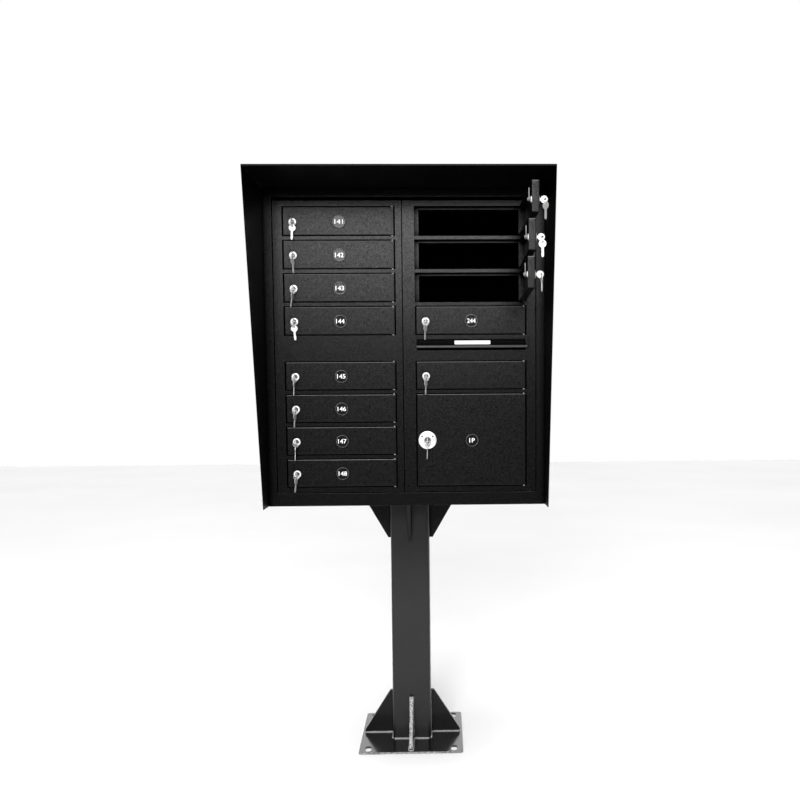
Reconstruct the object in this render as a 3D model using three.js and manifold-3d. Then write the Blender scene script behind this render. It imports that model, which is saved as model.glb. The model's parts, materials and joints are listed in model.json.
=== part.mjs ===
// Cluster mailbox unit: a two-column cabinet of locked mail compartments on a welded pedestal.
// Units are millimetres, +Z is up, -Y is the front. The origin is the centre of the pedestal's
// foot plate, on the ground.
import * as THREE from "three";
import { mergeVertices } from "three/addons/utils/BufferGeometryUtils.js";
import Module from "manifold-3d";

const wasm = await Module();
wasm.setup();

// ---------------------------------------------------------------- driving dimensions

// Clearances, and how far joined or cutting solids run into each other.
const FIT_GAP = 0.3;
const OVERLAP = 1;
const MERGE_TOLERANCE = 1e-4;

// Sides of the round parts.
const LOCK_SIDES = 10;
const PIN_SIDES = 8;
const SCREW_SIDES = 6;
const CORNER_SEGMENTS = 4;

// Cabinet.
const PEDESTAL_HEIGHT = 736;
const CABINET_HEIGHT = 874;
const CABINET_WIDTH = 775;
const CABINET_DEPTH = 396;
const SHEET = 2;
const HOOD_REACH_TOP = 236;
const HOOD_REACH_BOTTOM = 70;
const ROOF_HEM = 3;
const CABINET_TOP = PEDESTAL_HEIGHT + CABINET_HEIGHT;
const FACE_Y = -CABINET_DEPTH / 2;
const REAR_Y = CABINET_DEPTH / 2;
const INNER_HALF = CABINET_WIDTH / 2 - SHEET - FIT_GAP;

// Face frame around the two loading doors.
const FRAME_OPENING_HALF = 362.1;
const FRAME_OPENING_BOTTOM = PEDESTAL_HEIGHT + 35.5;
const FRAME_OPENING_TOP = PEDESTAL_HEIGHT + 848.5;
const FRAME_RETURN_DEPTH = 22;
const FRAME_RETURN_WALL = 2.5;

// Loading doors: two pan-formed frames that carry the tenant doors.
const LOADING_BOTTOM = FRAME_OPENING_BOTTOM + 3;
const LOADING_TOP = PEDESTAL_HEIGHT + 838;
const LOADING_OUTER = FRAME_OPENING_HALF - 3;
const LEFT_LOADING_INNER = -9;
const RIGHT_LOADING_INNER = -6;
const LOADING_DEPTH = 23;
const LOADING_SKIN = 2.5;
const WALL = 2;
const STOP_FLANGE = { free: 11.5, hinged: 5, top: 6.5 };
const STOP_DEPTH = 19.7;
const STOP_THICKNESS = 1.5;
const HINGE_ROD_RADIUS = 2.5;
const HINGE_ROD_HOLE = 3;
const HINGE_ROD_INSET = 4.8;
const HINGE_ROD_DEPTH = 5.4;

// Tenant doors. Rows are counted down from the top; the blank band lies between rows 4 and 5.
const DOOR_WIDTH = 305;
const DOOR_HEIGHT = 77.3;
const DOOR_DEPTH = 18;
const DOOR_GAP = 2;
const ROW_PITCH = 90;
const BAND_EXTRA = 61;
const FIRST_ROW_Z = PEDESTAL_HEIGHT + 783.35;
const LEFT_COLUMN_X = -334.5;
const RIGHT_COLUMN_X = 26.3;
const OPENING_WIDTH = DOOR_WIDTH + 2 * DOOR_GAP;
const OPENING_HEIGHT = DOOR_HEIGHT + 2 * DOOR_GAP;
const PARCEL_ROWS = 3;

// Pivot pins at the right-hand corners of every tenant door.
const PIVOT_INSET = 6;
const PIVOT_DEPTH = 5;
const PIVOT_RADIUS = 2;
const PIVOT_HOLE = 2.5;
const PIVOT_LENGTH = 1.8;
const PIVOT_HOLE_DEPTH = 3.2;

// Angles at which the three open doors stand.
const OPEN_ANGLES = { door_241: 91, door_242: 89.5, door_243: 89 };

// Cam locks. Depths run back from the door's front face.
const TENANT_LOCK = {
  inset: 27.5,
  drop: 2.5,
  headRadius: 10.5,
  headHeight: 2.8,
  bodyRadius: 7.8,
  nutRadius: 11,
  plugRadius: 6,
  camLength: 28,
  camWidth: 12,
  bowRadius: 9,
};
const PARCEL_LOCK = {
  inset: 29.7,
  drop: 0,
  headRadius: 25,
  headHeight: 3.4,
  bodyRadius: 11,
  nutRadius: 14.5,
  plugRadius: 8.5,
  camLength: 31,
  camWidth: 16,
  bowRadius: 11,
};
const LOCK_BODY_DEPTH = 20;
const LOCK_HEAD_CHAMFER = 0.9;
const LOCK_NUT_THICKNESS = 4;
const PLUG_PROUD = 0.8;
const CAM_DEPTH = 21.6;
const CAM_THICKNESS = 2.5;
const CAM_SCREW_RADIUS = 4.5;
const CAM_SCREW_HEIGHT = 3;
const KEY_THICKNESS = 2;
const KEY_BLADE_WIDTH = 7;
const KEY_SHANK = 3;
const KEY_HOLE_RADIUS = 2.8;
const KEY_HOLE_SHARE = 1 / 3;

// Compartment racks behind the loading doors.
const RACK_FRONT = FACE_Y + 34;
const RACK_BACK = REAR_Y - 8;
const RACK_WALL = 1.2;
const RACK_SIDE = 3.5;

// Outgoing mail slot in the blank band of the right loading door.
const SLOT_LEFT = 30;
const SLOT_RIGHT = 332;
const SLOT_BOTTOM = PEDESTAL_HEIGHT + 431;
const SLOT_TOP = PEDESTAL_HEIGHT + 462;
const FLAP_AXIS_DROP = 3;
const FLAP_AXIS_DEPTH = 3;
const FLAP_BARREL_RADIUS = 2.4;
const FLAP_THICKNESS = 2;
const FLAP_END_GAP = 1.5;
const LIP_RADIUS = 4;
const LIP_DROP = 18;
const LIP_REACH = 7.6;
const LIP_OVERHANG_LEFT = 2;
const LIP_OVERHANG_RIGHT = 7;
const BAFFLE_REACH = 58;
const BAFFLE_SHEET = 1.6;
const BAFFLE_DROP = 24;
const BAFFLE_RISE = 2;
const BAFFLE_INSET = 4;

// Latch bar behind the inner stile of the right loading door.
const BAR_LEFT = 2;
const BAR_RIGHT = 22;
const BAR_FRONT = 24;
const BAR_BACK = 29;
const BAR_BOTTOM = PEDESTAL_HEIGHT + 49;
const BAR_TOP = PEDESTAL_HEIGHT + 842;
const GUIDE_CLEARANCE = 0.5;
const GUIDE_HEIGHT = 24;
const GUIDE_ROWS = [1, 3.9, 6.5];

// Pedestal.
const POST_SIDE = 114.3;
const POST_WALL = 5;
const POST_CORNER = 9;
const FOOT_SIDE = 305;
const FOOT_THICKNESS = 6;
const PLATE_CORNER = 8;
const ANCHOR_SPACING = 252;
const ANCHOR_SLOT = { width: 18, length: 34 };
const HEAD_SIDE = 268;
const HEAD_THICKNESS = 6;
const HEAD_BOLT_SPACING = 216;
const HEAD_BOLT_RADIUS = 5.5;
const GUSSET_THICKNESS = 10;
const FOOT_GUSSET = { reach: 88, height: 133 };
const HEAD_GUSSET = { reach: 72, height: 117 };
const GUSSET_TIP = 10;

// ---------------------------------------------------------------- materials

function powderCoat() {
  return new THREE.MeshStandardMaterial({ color: 0x1a1a1c, roughness: 0.62, metalness: 0.2 });
}

function satinPaint() {
  return new THREE.MeshStandardMaterial({ color: 0x232326, roughness: 0.38, metalness: 0.25 });
}

function rackPaint() {
  return new THREE.MeshStandardMaterial({ color: 0x0e0e10, roughness: 0.8, metalness: 0.1 });
}

function chrome() {
  return new THREE.MeshStandardMaterial({ color: 0xd6d8da, roughness: 0.15, metalness: 1 });
}

function zincSteel() {
  return new THREE.MeshStandardMaterial({ color: 0xa9aaa6, roughness: 0.38, metalness: 0.9 });
}

// ---------------------------------------------------------------- solids and shapes

function toSolid(geometry) {
  const bare = geometry.index ? geometry.toNonIndexed() : geometry.clone();
  bare.deleteAttribute("normal");
  bare.deleteAttribute("uv");
  const merged = mergeVertices(bare, MERGE_TOLERANCE);
  const triVerts = new Uint32Array(merged.index.array);
  const vertProperties = merged.attributes.position.array;
  return new wasm.Manifold(new wasm.Mesh({ numProp: 3, vertProperties, triVerts }));
}

function toGeometry(solid) {
  const { vertProperties, triVerts } = solid.getMesh();
  const indexed = new THREE.BufferGeometry();
  indexed.setAttribute("position", new THREE.BufferAttribute(vertProperties, 3));
  indexed.setIndex(new THREE.BufferAttribute(triVerts, 1));
  const faceted = indexed.toNonIndexed();
  faceted.computeVertexNormals();
  return faceted;
}

function union(solids) {
  return solids.reduce((whole, next) => whole.add(next));
}

function cut(solid, tools) {
  return tools.reduce((rest, tool) => rest.subtract(tool), solid);
}

function block([x0, x1], [y0, y1], [z0, z1]) {
  const geometry = new THREE.BoxGeometry(x1 - x0, y1 - y0, z1 - z0);
  geometry.translate((x0 + x1) / 2, (y0 + y1) / 2, (z0 + z1) / 2);
  return toSolid(geometry);
}

function rodAlongX(radius, y, z, [x0, x1], sides = LOCK_SIDES) {
  const geometry = new THREE.CylinderGeometry(radius, radius, x1 - x0, sides);
  geometry.rotateZ(Math.PI / 2);
  geometry.translate((x0 + x1) / 2, y, z);
  return toSolid(geometry);
}

function rodAlongY(radius, x, z, [y0, y1], sides = LOCK_SIDES) {
  const geometry = new THREE.CylinderGeometry(radius, radius, y1 - y0, sides);
  geometry.translate(x, (y0 + y1) / 2, z);
  return toSolid(geometry);
}

function rodAlongZ(radius, x, y, [z0, z1], sides = PIN_SIDES) {
  const geometry = new THREE.CylinderGeometry(radius, radius, z1 - z0, sides);
  geometry.rotateX(Math.PI / 2);
  geometry.translate(x, y, (z0 + z1) / 2);
  return toSolid(geometry);
}

function outline(points) {
  return new THREE.Shape(points.map(([a, b]) => new THREE.Vector2(a, b)));
}

function rectangle([a0, a1], [b0, b1]) {
  return outline([[a0, b0], [a1, b0], [a1, b1], [a0, b1]]);
}

// A square with rounded corners, centred on the origin.
function roundedSquare(side, radius) {
  const half = side / 2;
  const shape = new THREE.Shape();
  shape.moveTo(half - radius, -half);
  shape.absarc(half - radius, radius - half, radius, -Math.PI / 2, 0);
  shape.absarc(half - radius, half - radius, radius, 0, Math.PI / 2);
  shape.absarc(radius - half, half - radius, radius, Math.PI / 2, Math.PI);
  shape.absarc(radius - half, radius - half, radius, Math.PI, 1.5 * Math.PI);
  return shape;
}

function extrude(shape, depth) {
  const settings = { depth, bevelEnabled: false, curveSegments: CORNER_SEGMENTS };
  return new THREE.ExtrudeGeometry(shape, settings);
}

// A plate drawn in X and Z, from its front face at y0 back to y1.
function uprightPlate(shape, [y0, y1]) {
  const geometry = extrude(shape, y1 - y0);
  geometry.rotateX(Math.PI / 2);
  geometry.translate(0, y1, 0);
  return toSolid(geometry);
}

// A plate drawn in X and Y, from z0 up to z1.
function levelPlate(shape, [z0, z1]) {
  const geometry = extrude(shape, z1 - z0);
  geometry.translate(0, 0, z0);
  return toSolid(geometry);
}

// A section drawn in Y and Z, run along X from x0 to x1.
function sectionAlongX(shape, [x0, x1]) {
  const geometry = extrude(shape, x1 - x0);
  const axes = new THREE.Matrix4().makeBasis(
    new THREE.Vector3(0, 1, 0),
    new THREE.Vector3(0, 0, 1),
    new THREE.Vector3(1, 0, 0),
  );
  geometry.applyMatrix4(axes);
  geometry.translate(x0, 0, 0);
  return toSolid(geometry);
}

function piece(name, solid, material) {
  const mesh = new THREE.Mesh(toGeometry(solid), material);
  mesh.name = name;
  return mesh;
}

// ---------------------------------------------------------------- layout of the rows

function rowCentre(row) {
  const band = row > 4 ? BAND_EXTRA : 0;
  return FIRST_ROW_Z - (row - 1) * ROW_PITCH - band;
}

function rowOpening(row) {
  return [rowCentre(row) - OPENING_HEIGHT / 2, rowCentre(row) + OPENING_HEIGHT / 2];
}

// Heights of the parcel door, which takes the last three rows.
const PARCEL_OPENING = [rowOpening(8)[0], rowOpening(9 - PARCEL_ROWS)[1]];
const PARCEL_HEIGHT = PARCEL_OPENING[1] - PARCEL_OPENING[0] - 2 * DOOR_GAP;
const PARCEL_CENTRE = (PARCEL_OPENING[0] + PARCEL_OPENING[1]) / 2;

const LEFT_ROWS = [1, 2, 3, 4, 5, 6, 7, 8];
const RIGHT_ROWS = [1, 2, 3, 4, 5];

// ---------------------------------------------------------------- cabinet shell

// One side sheet: it runs forward past the face as a hood that tapers towards the bottom.
function sidePanel(name, side) {
  const top = CABINET_TOP - SHEET - FIT_GAP;
  const shape = outline([
    [REAR_Y, PEDESTAL_HEIGHT],
    [REAR_Y, top],
    [FACE_Y - HOOD_REACH_TOP, top],
    [FACE_Y - HOOD_REACH_BOTTOM, PEDESTAL_HEIGHT],
  ]);
  const inner = CABINET_WIDTH / 2 - SHEET;
  const span = side < 0 ? [-inner - SHEET, -inner] : [inner, inner + SHEET];
  return piece(name, sectionAlongX(shape, span), powderCoat());
}

// The roof sheet, with a short hem turned down along its front edge.
function roofPanel() {
  const front = FACE_Y - HOOD_REACH_TOP;
  const half = CABINET_WIDTH / 2;
  const sheet = block([-half, half], [front, REAR_Y], [CABINET_TOP - SHEET, CABINET_TOP]);
  const hem = block(
    [-INNER_HALF, INNER_HALF],
    [front, front + SHEET],
    [CABINET_TOP - SHEET - ROOF_HEM, CABINET_TOP - SHEET + OVERLAP],
  );
  return piece("roof_panel", union([sheet, hem]), powderCoat());
}

function headBoltCentres() {
  const half = HEAD_BOLT_SPACING / 2;
  return [[-half, -half], [half, -half], [half, half], [-half, half]];
}

function floorPanel() {
  const rise = [PEDESTAL_HEIGHT, PEDESTAL_HEIGHT + SHEET];
  const run = [FACE_Y + SHEET + FIT_GAP, REAR_Y - SHEET - FIT_GAP];
  const sheet = block([-INNER_HALF, INNER_HALF], run, rise);
  const drill = [PEDESTAL_HEIGHT - OVERLAP, PEDESTAL_HEIGHT + SHEET + OVERLAP];
  const holes = headBoltCentres().map(([x, y]) => rodAlongZ(HEAD_BOLT_RADIUS, x, y, drill));
  return piece("floor_panel", cut(sheet, holes), powderCoat());
}

function rearPanel() {
  const rise = [PEDESTAL_HEIGHT, CABINET_TOP - SHEET - FIT_GAP];
  const sheet = block([-INNER_HALF, INNER_HALF], [REAR_Y - SHEET, REAR_Y], rise);
  return piece("rear_panel", sheet, powderCoat());
}

// Where each loading door's hinge rod stands.
function hingeRodCentre(side) {
  return [side * (LOADING_OUTER - HINGE_ROD_INSET), FACE_Y + HINGE_ROD_DEPTH];
}

// The frame is one folded sheet: a flat face and a return all round the opening.
function faceFrame() {
  const half = FRAME_OPENING_HALF;
  const rise = [FRAME_OPENING_BOTTOM, FRAME_OPENING_TOP];
  const face = rectangle([-INNER_HALF, INNER_HALF], [PEDESTAL_HEIGHT, CABINET_TOP - SHEET - FIT_GAP]);
  face.holes.push(rectangle([-half, half], rise));
  const wall = FRAME_RETURN_WALL;
  const lining = rectangle([-half - wall, half + wall], [rise[0] - wall, rise[1] + wall]);
  lining.holes.push(rectangle([-half, half], rise));
  const drills = [-1, 1].map((side) => {
    const [x, y] = hingeRodCentre(side);
    return rodAlongZ(HINGE_ROD_HOLE, x, y, [rise[0] - 2 * wall, rise[1] + 2 * wall]);
  });
  const folded = union([
    uprightPlate(face, [FACE_Y, FACE_Y + SHEET]),
    uprightPlate(lining, [FACE_Y, FACE_Y + FRAME_RETURN_DEPTH]),
  ]);
  return piece("face_frame", cut(folded, drills), powderCoat());
}

function hingeRod(name, side) {
  const [x, y] = hingeRodCentre(side);
  const wall = FRAME_RETURN_WALL;
  const rise = [FRAME_OPENING_BOTTOM - wall, FRAME_OPENING_TOP + wall];
  return piece(name, rodAlongZ(HINGE_ROD_RADIUS, x, y, rise), zincSteel());
}

// ---------------------------------------------------------------- compartment racks

// Heights of the shelf centres of a rack, from the top down.
function shelfLevels(side) {
  const half = ROW_PITCH / 2;
  const upper = [1, 2, 3, 4].map((row) => rowCentre(row) + half);
  const band = rowCentre(4) - half;
  const lower = [5, 6, 7, 8].map((row) => rowCentre(row) + half);
  const floor = rowCentre(8) - half;
  if (side < 0) return [...upper, band, ...lower, floor];
  return [...upper, band, rowCentre(6) + half, floor];
}

// A folded sheet rack: side walls, shelves and a back, standing on the cabinet floor.
function rack(name, side) {
  const left = (side < 0 ? LEFT_COLUMN_X : RIGHT_COLUMN_X) - RACK_SIDE;
  const right = left + OPENING_WIDTH + 2 * RACK_SIDE;
  const levels = shelfLevels(side);
  const foot = PEDESTAL_HEIGHT + SHEET + FIT_GAP;
  const shape = rectangle([left, right], [foot, levels[0] + RACK_WALL / 2]);
  const floors = [...levels, foot + RACK_WALL / 2];
  for (let i = 0; i + 1 < floors.length; i += 1) {
    const cell = [floors[i + 1] + RACK_WALL / 2, floors[i] - RACK_WALL / 2];
    shape.holes.push(rectangle([left + RACK_WALL, right - RACK_WALL], cell));
  }
  const cells = uprightPlate(shape, [RACK_FRONT, RACK_BACK]);
  const rise = [foot, levels[0] + RACK_WALL / 2];
  const back = block([left, right], [RACK_BACK - RACK_WALL, RACK_BACK], rise);
  return piece(name, union([cells, back]), rackPaint());
}

// ---------------------------------------------------------------- loading doors

// Blocks taken out behind the front skin, so that the door is a folded pan.
function loadingPockets(side, openings) {
  const left = side < 0 ? -LOADING_OUTER : RIGHT_LOADING_INNER;
  const right = side < 0 ? LEFT_LOADING_INNER : LOADING_OUTER;
  const column = side < 0 ? LEFT_COLUMN_X : RIGHT_COLUMN_X;
  const depth = [FACE_Y + LOADING_SKIN, FACE_Y + LOADING_DEPTH + OVERLAP];
  const fullRise = [LOADING_BOTTOM + WALL, LOADING_TOP - WALL];
  const between = [column, column + OPENING_WIDTH];
  const lowest = openings[openings.length - 1][0];
  return [
    block([left + WALL, column - WALL], depth, fullRise),
    block([column + OPENING_WIDTH + WALL, right - WALL], depth, fullRise),
    block(between, depth, [openings[0][1] + WALL, LOADING_TOP - WALL]),
    block(between, depth, [rowOpening(5)[1] + WALL, rowOpening(4)[0] - WALL]),
    block(between, depth, [LOADING_BOTTOM + WALL, lowest - WALL]),
  ];
}

// The stop along the sides and top of an opening. A closed tenant door rests in front of it, and
// its lock cam catches behind the wide flange at the free edge.
function stopFlange(column, [z0, z1]) {
  const outer = WALL / 2;
  const right = column + OPENING_WIDTH;
  const ring = rectangle([column - outer, right + outer], [z0 - outer, z1 + outer]);
  const clear = [column + STOP_FLANGE.free, right - STOP_FLANGE.hinged];
  ring.holes.push(rectangle(clear, [z0, z1 - STOP_FLANGE.top]));
  const front = FACE_Y + STOP_DEPTH;
  return uprightPlate(ring, [front, front + STOP_THICKNESS]);
}

// Holes above and below an opening for the tenant door's pivot pins.
function pivotHoles(column, [z0, z1]) {
  const x = column + OPENING_WIDTH - DOOR_GAP - PIVOT_INSET;
  const y = FACE_Y + PIVOT_DEPTH;
  return [
    rodAlongZ(PIVOT_HOLE, x, y, [z0 - PIVOT_HOLE_DEPTH, z0 + OVERLAP]),
    rodAlongZ(PIVOT_HOLE, x, y, [z1 - OVERLAP, z1 + PIVOT_HOLE_DEPTH]),
  ];
}

function rodHoles(side) {
  const [x, y] = hingeRodCentre(side);
  return [
    rodAlongZ(HINGE_ROD_HOLE, x, y, [LOADING_BOTTOM - OVERLAP, LOADING_BOTTOM + WALL + OVERLAP]),
    rodAlongZ(HINGE_ROD_HOLE, x, y, [LOADING_TOP - WALL - OVERLAP, LOADING_TOP + OVERLAP]),
  ];
}

function loadingDoorSolid(side, openings) {
  const column = side < 0 ? LEFT_COLUMN_X : RIGHT_COLUMN_X;
  const span = side < 0 ? [-LOADING_OUTER, LEFT_LOADING_INNER] : [RIGHT_LOADING_INNER, LOADING_OUTER];
  const shape = rectangle(span, [LOADING_BOTTOM, LOADING_TOP]);
  for (const rise of openings) {
    shape.holes.push(rectangle([column, column + OPENING_WIDTH], rise));
  }
  const slab = uprightPlate(shape, [FACE_Y, FACE_Y + LOADING_DEPTH]);
  const pan = cut(slab, loadingPockets(side, openings));
  const flanged = union([pan, ...openings.map((rise) => stopFlange(column, rise))]);
  const holes = openings.flatMap((rise) => pivotHoles(column, rise));
  return cut(flanged, [...holes, ...rodHoles(side)]);
}

function leftLoadingDoor() {
  const solid = loadingDoorSolid(-1, LEFT_ROWS.map(rowOpening));
  return piece("left_loading_door", solid, powderCoat());
}

// A strap across the stile with a closed loop behind it for the latch bar.
function barGuide(z) {
  const rise = [z - GUIDE_HEIGHT / 2, z + GUIDE_HEIGHT / 2];
  const back = FACE_Y + LOADING_DEPTH;
  const loopBack = FACE_Y + BAR_BACK + GUIDE_CLEARANCE;
  const inner = [BAR_LEFT - GUIDE_CLEARANCE, BAR_RIGHT + GUIDE_CLEARANCE];
  const outer = [inner[0] - WALL, inner[1] + WALL];
  const strap = block([RIGHT_LOADING_INNER + OVERLAP, RIGHT_COLUMN_X - OVERLAP], [back - WALL, back], rise);
  const loop = block(outer, [back - OVERLAP, loopBack + WALL], rise);
  const throat = block(inner, [back, loopBack], [rise[0] - OVERLAP, rise[1] + OVERLAP]);
  return [strap, loop.subtract(throat)];
}

function rightLoadingDoor() {
  const openings = [...RIGHT_ROWS.map(rowOpening), PARCEL_OPENING];
  const slot = block(
    [SLOT_LEFT, SLOT_RIGHT],
    [FACE_Y - OVERLAP, FACE_Y + LOADING_SKIN + OVERLAP],
    [SLOT_BOTTOM, SLOT_TOP],
  );
  const guides = GUIDE_ROWS.flatMap((row) => barGuide(rowCentre(row)));
  const solid = union([loadingDoorSolid(1, openings).subtract(slot), ...guides]);
  return piece("right_loading_door", solid, powderCoat());
}

// A flat bar that slides up behind the top rail of the face frame.
function latchBar() {
  const depth = [FACE_Y + BAR_FRONT, FACE_Y + BAR_BACK];
  const solid = block([BAR_LEFT, BAR_RIGHT], depth, [BAR_BOTTOM, BAR_TOP]);
  return piece("master_latch_bar", solid, zincSteel());
}

// ---------------------------------------------------------------- outgoing mail slot

// The flap hangs from a barrel at the top of the slot and ends in a round finger lip.
function slotFlap() {
  const x = [SLOT_LEFT + FLAP_END_GAP, SLOT_RIGHT - FLAP_END_GAP];
  const axisY = FACE_Y + FLAP_AXIS_DEPTH;
  const axisZ = SLOT_TOP - FLAP_AXIS_DROP;
  const lipZ = axisZ - LIP_DROP;
  const half = FLAP_THICKNESS / 2;
  const lipX = [SLOT_LEFT - LIP_OVERHANG_LEFT, SLOT_RIGHT + LIP_OVERHANG_RIGHT];
  const solid = union([
    rodAlongX(FLAP_BARREL_RADIUS, axisY, axisZ, x),
    block(x, [axisY - half, axisY + half], [lipZ - half, axisZ]),
    block(x, [axisY - LIP_REACH, axisY + half], [lipZ - half, lipZ + half]),
    rodAlongX(LIP_RADIUS, axisY - LIP_REACH, lipZ, lipX),
  ]);
  return piece("mail_slot_flap", solid, powderCoat());
}

// A bent sheet behind the slot that turns mail down into the outgoing compartment.
function slotBaffle() {
  const front = FACE_Y + LOADING_SKIN + FIT_GAP;
  const back = FACE_Y + BAFFLE_REACH;
  const tabTop = rowOpening(4)[0] - WALL - FIT_GAP;
  const top = SLOT_TOP + BAFFLE_RISE + BAFFLE_SHEET;
  const shape = outline([
    [front, tabTop],
    [front, top - BAFFLE_SHEET],
    [back - BAFFLE_SHEET, top - BAFFLE_SHEET],
    [back - BAFFLE_SHEET, top - BAFFLE_DROP],
    [back, top - BAFFLE_DROP],
    [back, top],
    [front + BAFFLE_SHEET, top],
    [front + BAFFLE_SHEET, tabTop],
  ]);
  const run = [SLOT_LEFT + BAFFLE_INSET, SLOT_RIGHT - BAFFLE_INSET];
  return piece("mail_slot_baffle", sectionAlongX(shape, run), rackPaint());
}

// ---------------------------------------------------------------- tenant doors and locks

// Door parts are drawn about the pivot axis: +X to the hinged edge, -Y to the front.
const DOOR_FRONT = -PIVOT_DEPTH;
const DOOR_RIGHT = PIVOT_INSET;
const DOOR_LEFT = PIVOT_INSET - DOOR_WIDTH;

function doorPan(name, height, lock) {
  const half = height / 2;
  const back = DOOR_FRONT + DOOR_DEPTH;
  const slab = block([DOOR_LEFT, DOOR_RIGHT], [DOOR_FRONT, back], [-half, half]);
  const pocket = block(
    [DOOR_LEFT + WALL, DOOR_RIGHT - WALL],
    [DOOR_FRONT + WALL, back + OVERLAP],
    [WALL - half, half - WALL],
  );
  const lockX = DOOR_LEFT + lock.inset;
  const bore = [DOOR_FRONT - OVERLAP, DOOR_FRONT + WALL + OVERLAP];
  const lockHole = rodAlongY(lock.bodyRadius + FIT_GAP, lockX, -lock.drop, bore);
  const reach = half + DOOR_GAP + PIVOT_LENGTH;
  const pins = [
    rodAlongZ(PIVOT_RADIUS, 0, 0, [half - OVERLAP, reach]),
    rodAlongZ(PIVOT_RADIUS, 0, 0, [-reach, OVERLAP - half]),
  ];
  return piece(name, union([cut(slab, [pocket, lockHole]), ...pins]), powderCoat());
}

// The part of a lock that stays still: a round head, a threaded body and its nut. The flats of
// its faceted bore stay clear of the plug's corners as the plug turns.
function lockHousing(name, lock) {
  const bore = (lock.plugRadius + FIT_GAP) / Math.cos(Math.PI / LOCK_SIDES);
  const nutFront = WALL + FIT_GAP;
  const nutBack = nutFront + LOCK_NUT_THICKNESS;
  const profile = [
    [bore, -lock.headHeight],
    [lock.headRadius - LOCK_HEAD_CHAMFER, -lock.headHeight],
    [lock.headRadius, LOCK_HEAD_CHAMFER - lock.headHeight],
    [lock.headRadius, -FIT_GAP],
    [lock.bodyRadius, -FIT_GAP],
    [lock.bodyRadius, nutFront],
    [lock.nutRadius, nutFront],
    [lock.nutRadius, nutBack],
    [lock.bodyRadius, nutBack],
    [lock.bodyRadius, LOCK_BODY_DEPTH],
    [bore, LOCK_BODY_DEPTH],
    [bore, -lock.headHeight],
  ];
  const points = profile.map(([radius, depth]) => new THREE.Vector2(radius, depth));
  return piece(name, toSolid(new THREE.LatheGeometry(points, LOCK_SIDES)), chrome());
}

// The cam: a flat arm with a round root, pointing up while the lock is open.
function camArm(lock) {
  const half = lock.camWidth / 2;
  const tip = half / 2;
  const shape = new THREE.Shape();
  shape.absarc(0, 0, half, Math.PI, 2 * Math.PI);
  shape.lineTo(half, lock.camLength - tip);
  shape.lineTo(half - tip, lock.camLength);
  shape.lineTo(tip - half, lock.camLength);
  shape.lineTo(-half, lock.camLength - tip);
  return uprightPlate(shape, [CAM_DEPTH, CAM_DEPTH + CAM_THICKNESS]);
}

// A flat key standing upright in the plug: shank, round bow and a hole for a ring.
function keyBlade(lock) {
  const face = -lock.headHeight - PLUG_PROUD;
  const centre = face - KEY_SHANK - lock.bowRadius + OVERLAP;
  const half = KEY_BLADE_WIDTH / 2;
  const thick = [-KEY_THICKNESS / 2, KEY_THICKNESS / 2];
  const bow = new THREE.Shape();
  bow.absarc(centre, 0, lock.bowRadius, 0, 2 * Math.PI);
  const hole = new THREE.Path();
  hole.absarc(centre - lock.bowRadius * KEY_HOLE_SHARE, 0, KEY_HOLE_RADIUS, 0, 2 * Math.PI);
  bow.holes.push(hole);
  const shank = rectangle([centre + lock.bowRadius - OVERLAP, face + OVERLAP], [-half, half]);
  return [sectionAlongX(bow, thick), sectionAlongX(shank, thick)];
}

// The part of a lock that turns: plug, cam, cam screw and the key left in it.
function lockPlug(name, lock) {
  const camBack = CAM_DEPTH + CAM_THICKNESS;
  const front = -lock.headHeight - PLUG_PROUD;
  const solid = union([
    rodAlongY(lock.plugRadius, 0, 0, [front, CAM_DEPTH + OVERLAP]),
    camArm(lock),
    rodAlongY(CAM_SCREW_RADIUS, 0, 0, [camBack - OVERLAP, camBack + CAM_SCREW_HEIGHT], SCREW_SIDES),
    ...keyBlade(lock),
  ]);
  return piece(name, solid, chrome());
}

// One hung door with its lock, standing open by the angle given in degrees.
function hungDoor({ door, label, column, centre, height, lock, angle }) {
  const group = new THREE.Group();
  const pivotX = column + OPENING_WIDTH - DOOR_GAP - PIVOT_INSET;
  group.position.set(pivotX, FACE_Y + PIVOT_DEPTH, centre);
  group.rotation.z = THREE.MathUtils.degToRad(angle);
  const housing = lockHousing(`lock_${label}`, lock);
  const plug = lockPlug(`plug_${label}`, lock);
  for (const part of [housing, plug]) {
    part.position.set(DOOR_LEFT + lock.inset, DOOR_FRONT, -lock.drop);
  }
  group.add(doorPan(door, height, lock), housing, plug);
  return group;
}

function tenantDoor(number, column, row) {
  const door = `door_${number}`;
  return hungDoor({
    door,
    label: `${number}`,
    column,
    centre: rowCentre(row),
    height: DOOR_HEIGHT,
    lock: TENANT_LOCK,
    angle: OPEN_ANGLES[door] ?? 0,
  });
}

function outgoingDoor() {
  return hungDoor({
    door: "outgoing_door",
    label: "outgoing",
    column: RIGHT_COLUMN_X,
    centre: rowCentre(5),
    height: DOOR_HEIGHT,
    lock: TENANT_LOCK,
    angle: 0,
  });
}

function parcelDoor() {
  return hungDoor({
    door: "parcel_door",
    label: "parcel",
    column: RIGHT_COLUMN_X,
    centre: PARCEL_CENTRE,
    height: PARCEL_HEIGHT,
    lock: PARCEL_LOCK,
    angle: 0,
  });
}

// ---------------------------------------------------------------- pedestal

function pedestalPost() {
  const rise = [FOOT_THICKNESS + FIT_GAP, PEDESTAL_HEIGHT - HEAD_THICKNESS - 2 * FIT_GAP];
  const shape = roundedSquare(POST_SIDE, POST_CORNER);
  shape.holes.push(roundedSquare(POST_SIDE - 2 * POST_WALL, POST_CORNER - POST_WALL));
  return piece("pedestal_post", levelPlate(shape, rise), satinPaint());
}

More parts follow.
